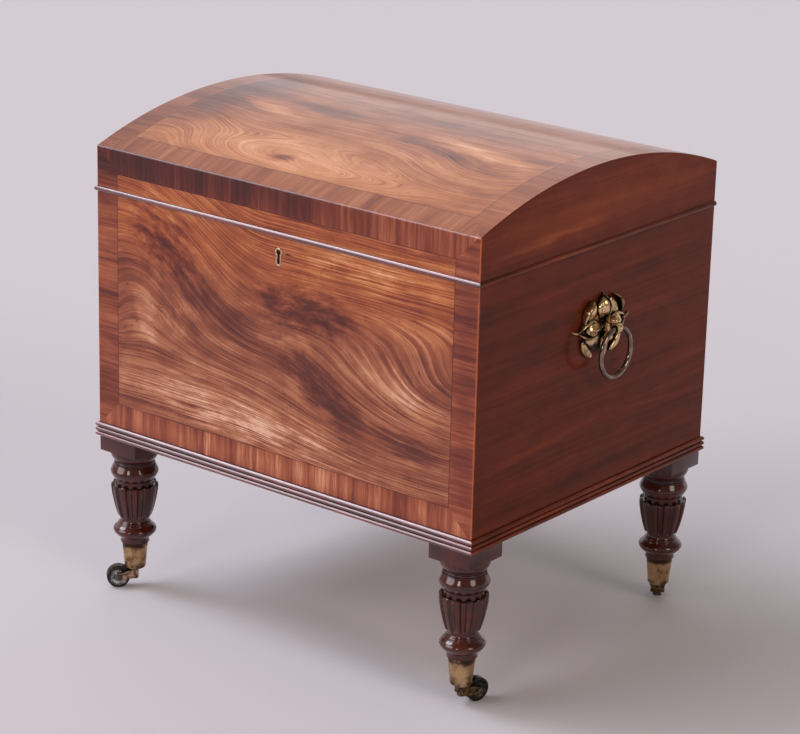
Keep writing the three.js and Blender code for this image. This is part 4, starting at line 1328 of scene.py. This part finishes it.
@dataclass(frozen=True)
class Fittings:
    """The lock in the front wall with its link under the lid, and two brass butt hinges with steel pins."""

    lock_screws: Pair = (-28.0, 28.0)
    link_screws: Pair = (-17.0, 17.0)
    hinge_screws: Vec = (-19.0, 0.0, 19.0)
    lock_head: float = 2.6
    hinge_head: float = 3.2

    def build(self) -> None:
        """Makes the lock's and the hinges' pieces."""
        for node in ("lock_case", "lock_bolt", "lock_link_plate"):
            soft_copy(node, Finish.STEEL, 0.25)
        screw_heads("screws_lock", "root", 1, (0.0, LOCK_Y, CASE_TOP), self.lock_screws, self.lock_head)
        screw_heads("screws_link", "lid", -1, (0.0, LOCK_Y, LID_BOTTOM), self.link_screws, self.lock_head)
        for hand, way in HANDS.items():
            for leaf in ("case", "lid"):
                soft_copy(f"hinge_{leaf}_leaf_{hand}", Finish.CAP, 0.2)
            soft_copy(f"hinge_pin_{hand}", Finish.STEEL, 0.1)
            for leaf, body, facing, z in (("case", "root", 1, CASE_TOP), ("lid", "lid", -1, LID_BOTTOM)):
                middle = (way * HINGE_X, HINGE_SCREWS_Y, z)
                screw_heads(f"screws_{leaf}_{hand}", body, facing, middle, self.hinge_screws, self.hinge_head)


@dataclass(frozen=True)
class Leaf:
    """One cast leaf or bud of the handle's plate, measured across, up, and outwards from the wall."""

    start: Pair
    tip: Pair
    width: float
    height: float
    bow: float = 0.0
    fullest: float = 0.5
    ribs: int = 0
    rib_depth: float = 0.0
    lift: float = 1.0

    def form(self) -> Form:
        """Makes the leaf.

        Along it, t runs from 0 to 1. Its middle line is straight, bent sideways by 4 bow t (1 - t). Its half
        width is width / 2 times sin(pi t^k)^0.7, where k puts the widest place at fullest, and never less
        than 0.45 of that at the start. Its section is half an ellipse with ribs: the height falls by
        rib_depth times cos^2 of the number of ribs times the angle.

        Returns:
            The leaf, in the plate's own plane.
        """
        t = np.linspace(0, 1, 29)[:, None]
        angle = np.linspace(0, math.pi, 25)[None, :]
        start, tip = np.array(self.start), np.array(self.tip)
        way = (tip - start) / np.linalg.norm(tip - start)
        power = math.log(0.5) / math.log(self.fullest)
        swell = np.sin(math.pi * np.clip(t, 0, 1) ** power) ** 0.7
        swell = np.maximum(swell, 0.45 * (1 - t / self.fullest) * (t < self.fullest))
        sideways = (self.width / 2 * swell + 0.05) * np.cos(angle) + 4 * self.bow * t * (1 - t)
        ribbed = self.height - self.rib_depth * np.cos(self.ribs * angle) ** 2
        outwards = self.lift + ribbed * np.sin(angle) ** 0.8 * swell**0.6
        middle = start + t * (tip - start)
        across, up = middle[:, :1] - way[1] * sideways, middle[:, 1:] + way[0] * sideways
        return Form.grid(np.stack([across, up, outwards], axis=-1))

    def mirrored(self) -> "Leaf":
        """Returns the same leaf on the other side of the upright through the plate's middle."""
        start, tip = (-self.start[0], self.start[1]), (-self.tip[0], self.tip[1])
        return replace(self, start=start, tip=tip, bow=-self.bow)


@dataclass(frozen=True)
class Handle:
    """A ring that hangs in a clasp on a plate of cast leaves."""

    hand: str
    wall: float = 305.3
    plate_z: float = 438.0
    ring_x: float = 330.8
    pivot_z: float = 442.0
    ring_radius: float = 31.0
    ring_thickness: float = 6.4

    def build(self) -> None:
        """Makes the plate and the ring."""
        self.plate()
        self.ring()

    def turned(self, form: Form) -> Form:
        """Returns a form that was made for the right end, on this handle's end."""
        return form if self.hand == "right" else form.placed(180.0)

    def plate(self) -> None:
        """Makes the plate: a domed bed, leaves and buds on it, and the clasp that holds the ring."""
        paired = (
            # A ribbed bud to the side between two sepals, with a thorn at their tip
            Leaf((5, 3), (36, 4), 21, 10, fullest=0.55, ribs=3, rib_depth=1.5, lift=3.0),
            Leaf((6, 8), (48, 3), 6.0, 8, bow=7.5),
            Leaf((6, -2), (48, 2), 6.0, 8, bow=-7.0),
            Leaf((44, 2), (60, 7), 4.0, 3.0, bow=-1.2, fullest=0.3, lift=0.6),
            # A smooth leaf above it with a curled edge, and a crescent below
            Leaf((33, 12), (15, 36), 17, 7.0, bow=3.0, lift=0.4),
            Leaf((38, 12), (19, 39), 4.0, 9.5, bow=-6.0),
            Leaf((40, -9), (16, -34), 11, 6.0, bow=4.0, ribs=2, rib_depth=0.9, lift=0.6),
            # The sepals of the bud at the top
            Leaf((3, 9), (-0.5, 42), 5.5, 9.0, bow=-10.5),
        )
        single = (
            Leaf((0, 10), (0, 39), 19, 9.5, ribs=3, rib_depth=1.6, lift=3.0),
            Leaf((0, 36), (0, 45), 4.5, 4.0, fullest=0.3),
            # The fluted tongue that hangs from the clasp
            Leaf((0, -6), (0, -38), 13, 5.0, fullest=0.4, ribs=3, rib_depth=1.3, lift=6.0),
        )
        bed = self.lobe((0.0, 4.0, 0.0), (37.0, 34.0, 6.0))
        form = bed.mapped(lambda at: np.maximum(at, (-1e3, -1e3, 0.0)))
        for leaf in single + paired + tuple(leaf.mirrored() for leaf in paired):
            form = form + leaf.form()
        for centre, radii in (((0.0, 3.0, 10.0), (5.0, 8.5, 10.0)), ((0.0, 12.0, 17.0), (5.5, 6.0, 10.0)),
                              ((0.0, -8.0, 12.0), (5.0, 7.0, 7.5))):
            form = form + self.lobe(centre, radii)
        form = form + self.sleeve()
        on_wall = form.mapped(lambda at: at[:, [2, 0, 1]] + (self.wall, 0.0, self.plate_z))
        piece = make_piece(f"plate_{self.hand}", self.turned(on_wall), "root",
                           f"handle_plate_{self.hand}", [Finish.HANDLE, Finish.HOLLOW], crease=60.0)
        # Painted shade: the faces that lie deep, near the wall, get the dark brass
        finish_faces(piece, lambda at, _: np.abs(at[:, 0]) < self.wall + 6.0 - 0.14 * np.abs(at[:, 1]))

    def lobe(self, centre: Vec, radii: Vec) -> Form:
        """Makes an ellipsoid: centre + radii (sin p cos a, sin p sin a, cos p).

        Args:
            centre: Its centre.
            radii: Its three radii.

        Returns:
            The ellipsoid.
        """
        polar, angle = np.linspace(0, math.pi, 25)[:, None], round_angles(40)[None, :]
        unit = np.stack([np.sin(polar) * np.cos(angle), np.sin(polar) * np.sin(angle),
                         np.broadcast_to(np.cos(polar), (25, 40))], axis=-1)
        return Form.grid(unit * np.array(radii) + np.array(centre))

    def sleeve(self) -> Form:
        """Makes the sleeve that the ring hangs in: a thick tube along the wall, with rounded ends."""
        knots = cornered(
            [(4.6, -4.6)],
            [(5.9, -4.3), (6.6, -3.2), (6.8, 0.0), (6.6, 3.2), (5.9, 4.3), (4.6, 4.6)],
            [(3.7, 4.2)],
            [(3.7, -4.2)],
            [],
        )
        tube = lathe(smooth_curve(knots, 3), round_angles(40), wrap=True)
        outwards = self.ring_x - self.wall
        return tube.mapped(lambda at: at[:, [2, 0, 1]] + (0.0, self.pivot_z - self.plate_z, outwards))

    def ring(self) -> None:
        """Makes the ring: a torus about the x axis, a little thicker at its foot."""
        angle, round_tube = round_angles(128)[:, None], round_angles(28)[None, :]
        tube = self.ring_thickness / 2 * (1 - 0.02 * (1 + np.cos(angle)))
        reach = self.ring_radius + tube * np.cos(round_tube)
        points = np.stack([self.ring_x + tube * np.sin(round_tube), reach * np.sin(angle),
                           self.pivot_z - self.ring_radius + reach * np.cos(angle)], axis=-1)
        form = self.turned(Form.grid(points, wrap=True))
        make_piece(f"ring_{self.hand}", form, f"handle_ring_{self.hand}",
                   f"handle_ring_{self.hand}", [Finish.RING], crease=60.0)


# The studio


@dataclass(frozen=True)
class Studio:
    """The camera of the photograph, soft lights, and a plain pale floor."""

    place: Vec = (2186.35, -2748.03, 1502.86)
    azimuth: float = 38.5404
    elevation: float = 18.6814
    roll: float = 1.4641
    lens: float = 129.33

    def build(self) -> None:
        """Makes the camera, the lights and the stage."""
        self.camera()
        self.floor()
        self.world()
        self.light("window", (-0.59, -0.2, 0.77), 26.0, 1.6, "#f1f1ff")
        self.light("fill", (-0.52, -0.72, 0.46), 38.0, 1.6, "#f9f1f6")
        self.light("front", (0.18, -0.88, 0.44), 12.0, 0.28, "#fff6ee")
        self.light("right", (0.84, -0.14, 0.5), 22.0, 0.56, "#ffeedd")
        bpy.context.scene.view_settings.view_transform = "Standard"

    def world(self) -> None:
        """Makes the room: pale towards the left and the back, and dim elsewhere.

        The share of the pale colour rises with the cosine between a direction and that of the pale wall.
        """
        tree = Tree.of(bpy.data.worlds.new("studio"))
        wall = Vector((-0.72, 0.66, 0.2)).normalized()
        way = tree.add("TexCoord").outputs["Generated"]
        cosine = tree.add("VectorMath", way, wall, operation="DOT_PRODUCT").outputs["Value"]
        share = tree.masked(cosine, 0.2, 0.92)
        colour = tree.add("MixRGB", share, linear("#726a62"), linear("#e2dfe2"))
        tree.add("OutputWorld", tree.add("Background", colour, 1.25))
        bpy.context.scene.world = tree.owner

    def camera(self) -> None:
        """Makes the camera: it looks along the azimuth, from that far above the level, rolled."""
        turn, raised, roll = (math.radians(angle) for angle in (self.azimuth, self.elevation, self.roll))
        level = math.cos(raised)
        back = np.array([math.sin(turn) * level, -math.cos(turn) * level, math.sin(raised)])
        level_right = np.cross(-back, (0.0, 0.0, 1.0))
        level_right /= np.linalg.norm(level_right)
        level_up = np.cross(level_right, -back)
        right = math.cos(roll) * level_right + math.sin(roll) * level_up
        up = math.cos(roll) * level_up - math.sin(roll) * level_right
        camera = added("camera", bpy.data.cameras.new("camera"))
        camera.data.lens, camera.data.sensor_width = self.lens, 36.0
        turned = Matrix(np.stack([right, up, back], axis=1).tolist()).to_4x4()
        camera.matrix_world = Matrix.Translation([side * MM for side in self.place]) @ turned
        bpy.context.scene.camera = camera

    def floor(self) -> None:
        """Makes the floor, a round one that curves up far outside every camera."""
        knots = cornered([(0.0, 0.0), (6500.0, 0.0)], [(8200.0, 90.0), (9300.0, 700.0), (9500.0, 1500.0)])
        profile = smooth_curve(knots, 8)
        angle = round_angles(96)[None, :]
        reach, height = profile[:, :1] + 0.001, np.broadcast_to(profile[:, 1:], (len(profile), 96))
        points = np.stack([reach * np.cos(angle), reach * np.sin(angle), height], axis=-1)
        floor = added("floor", Form.grid(points, open_ends=True).mesh("floor"))
        shade(floor, 60.0)
        tree = Tree.of(bpy.data.materials.new("matt pale paper"))
        floor.data.materials.append(tree.surface(Base_Color=linear("#cac7cb"), Roughness=0.9))

    def light(self, name: str, way: Vec, spread: float, strength: float, colour: str) -> None:
        """Makes a far, soft light.

        Args:
            name: Its name.
            way: The direction that it is seen in from the object.
            spread: How wide it looks, in degrees. It softens shadows and is the size of its reflection.
            strength: The watts that reach a square metre.
            colour: Its sRGB colour.
        """
        lamp = added(name, bpy.data.lights.new(name, "SUN"))
        lamp.data.angle, lamp.data.energy = math.radians(spread), strength
        lamp.data.color = linear(colour)[:3]
        lamp.location = [3.0 * side for side in way]
        lamp.rotation_euler = (-Vector(way)).to_track_quat("-Z", "Y").to_euler()


def main() -> None:
    """Builds the studio and the cellarette's sub-assemblies. Each piece is reported as it is tied."""
    logging.basicConfig(level=logging.INFO, format="%(message)s")
    Studio().build()
    Case().build()
    Lid().build()
    for corner, reed_turn, heading in zip(CORNERS, (44.0, 22.0, 8.0, 15.0), (230.0, 73.0, 200.0, 124.0)):
        leg = Leg(corner, reed_turn)
        leg.build()
        # Painted light: the front left caster, on the lit side, gets paler copies of the horn's and the
        # dish's finishes
        worn = {"horn": Finish.HORN, "dish": Finish.DISH} if corner == "front_left" else {}
        Caster(leg, heading, **worn).build()
    Fittings().build()
    for hand in HANDS:
        Handle(hand).build()


if __name__ == "__main__":
    main()
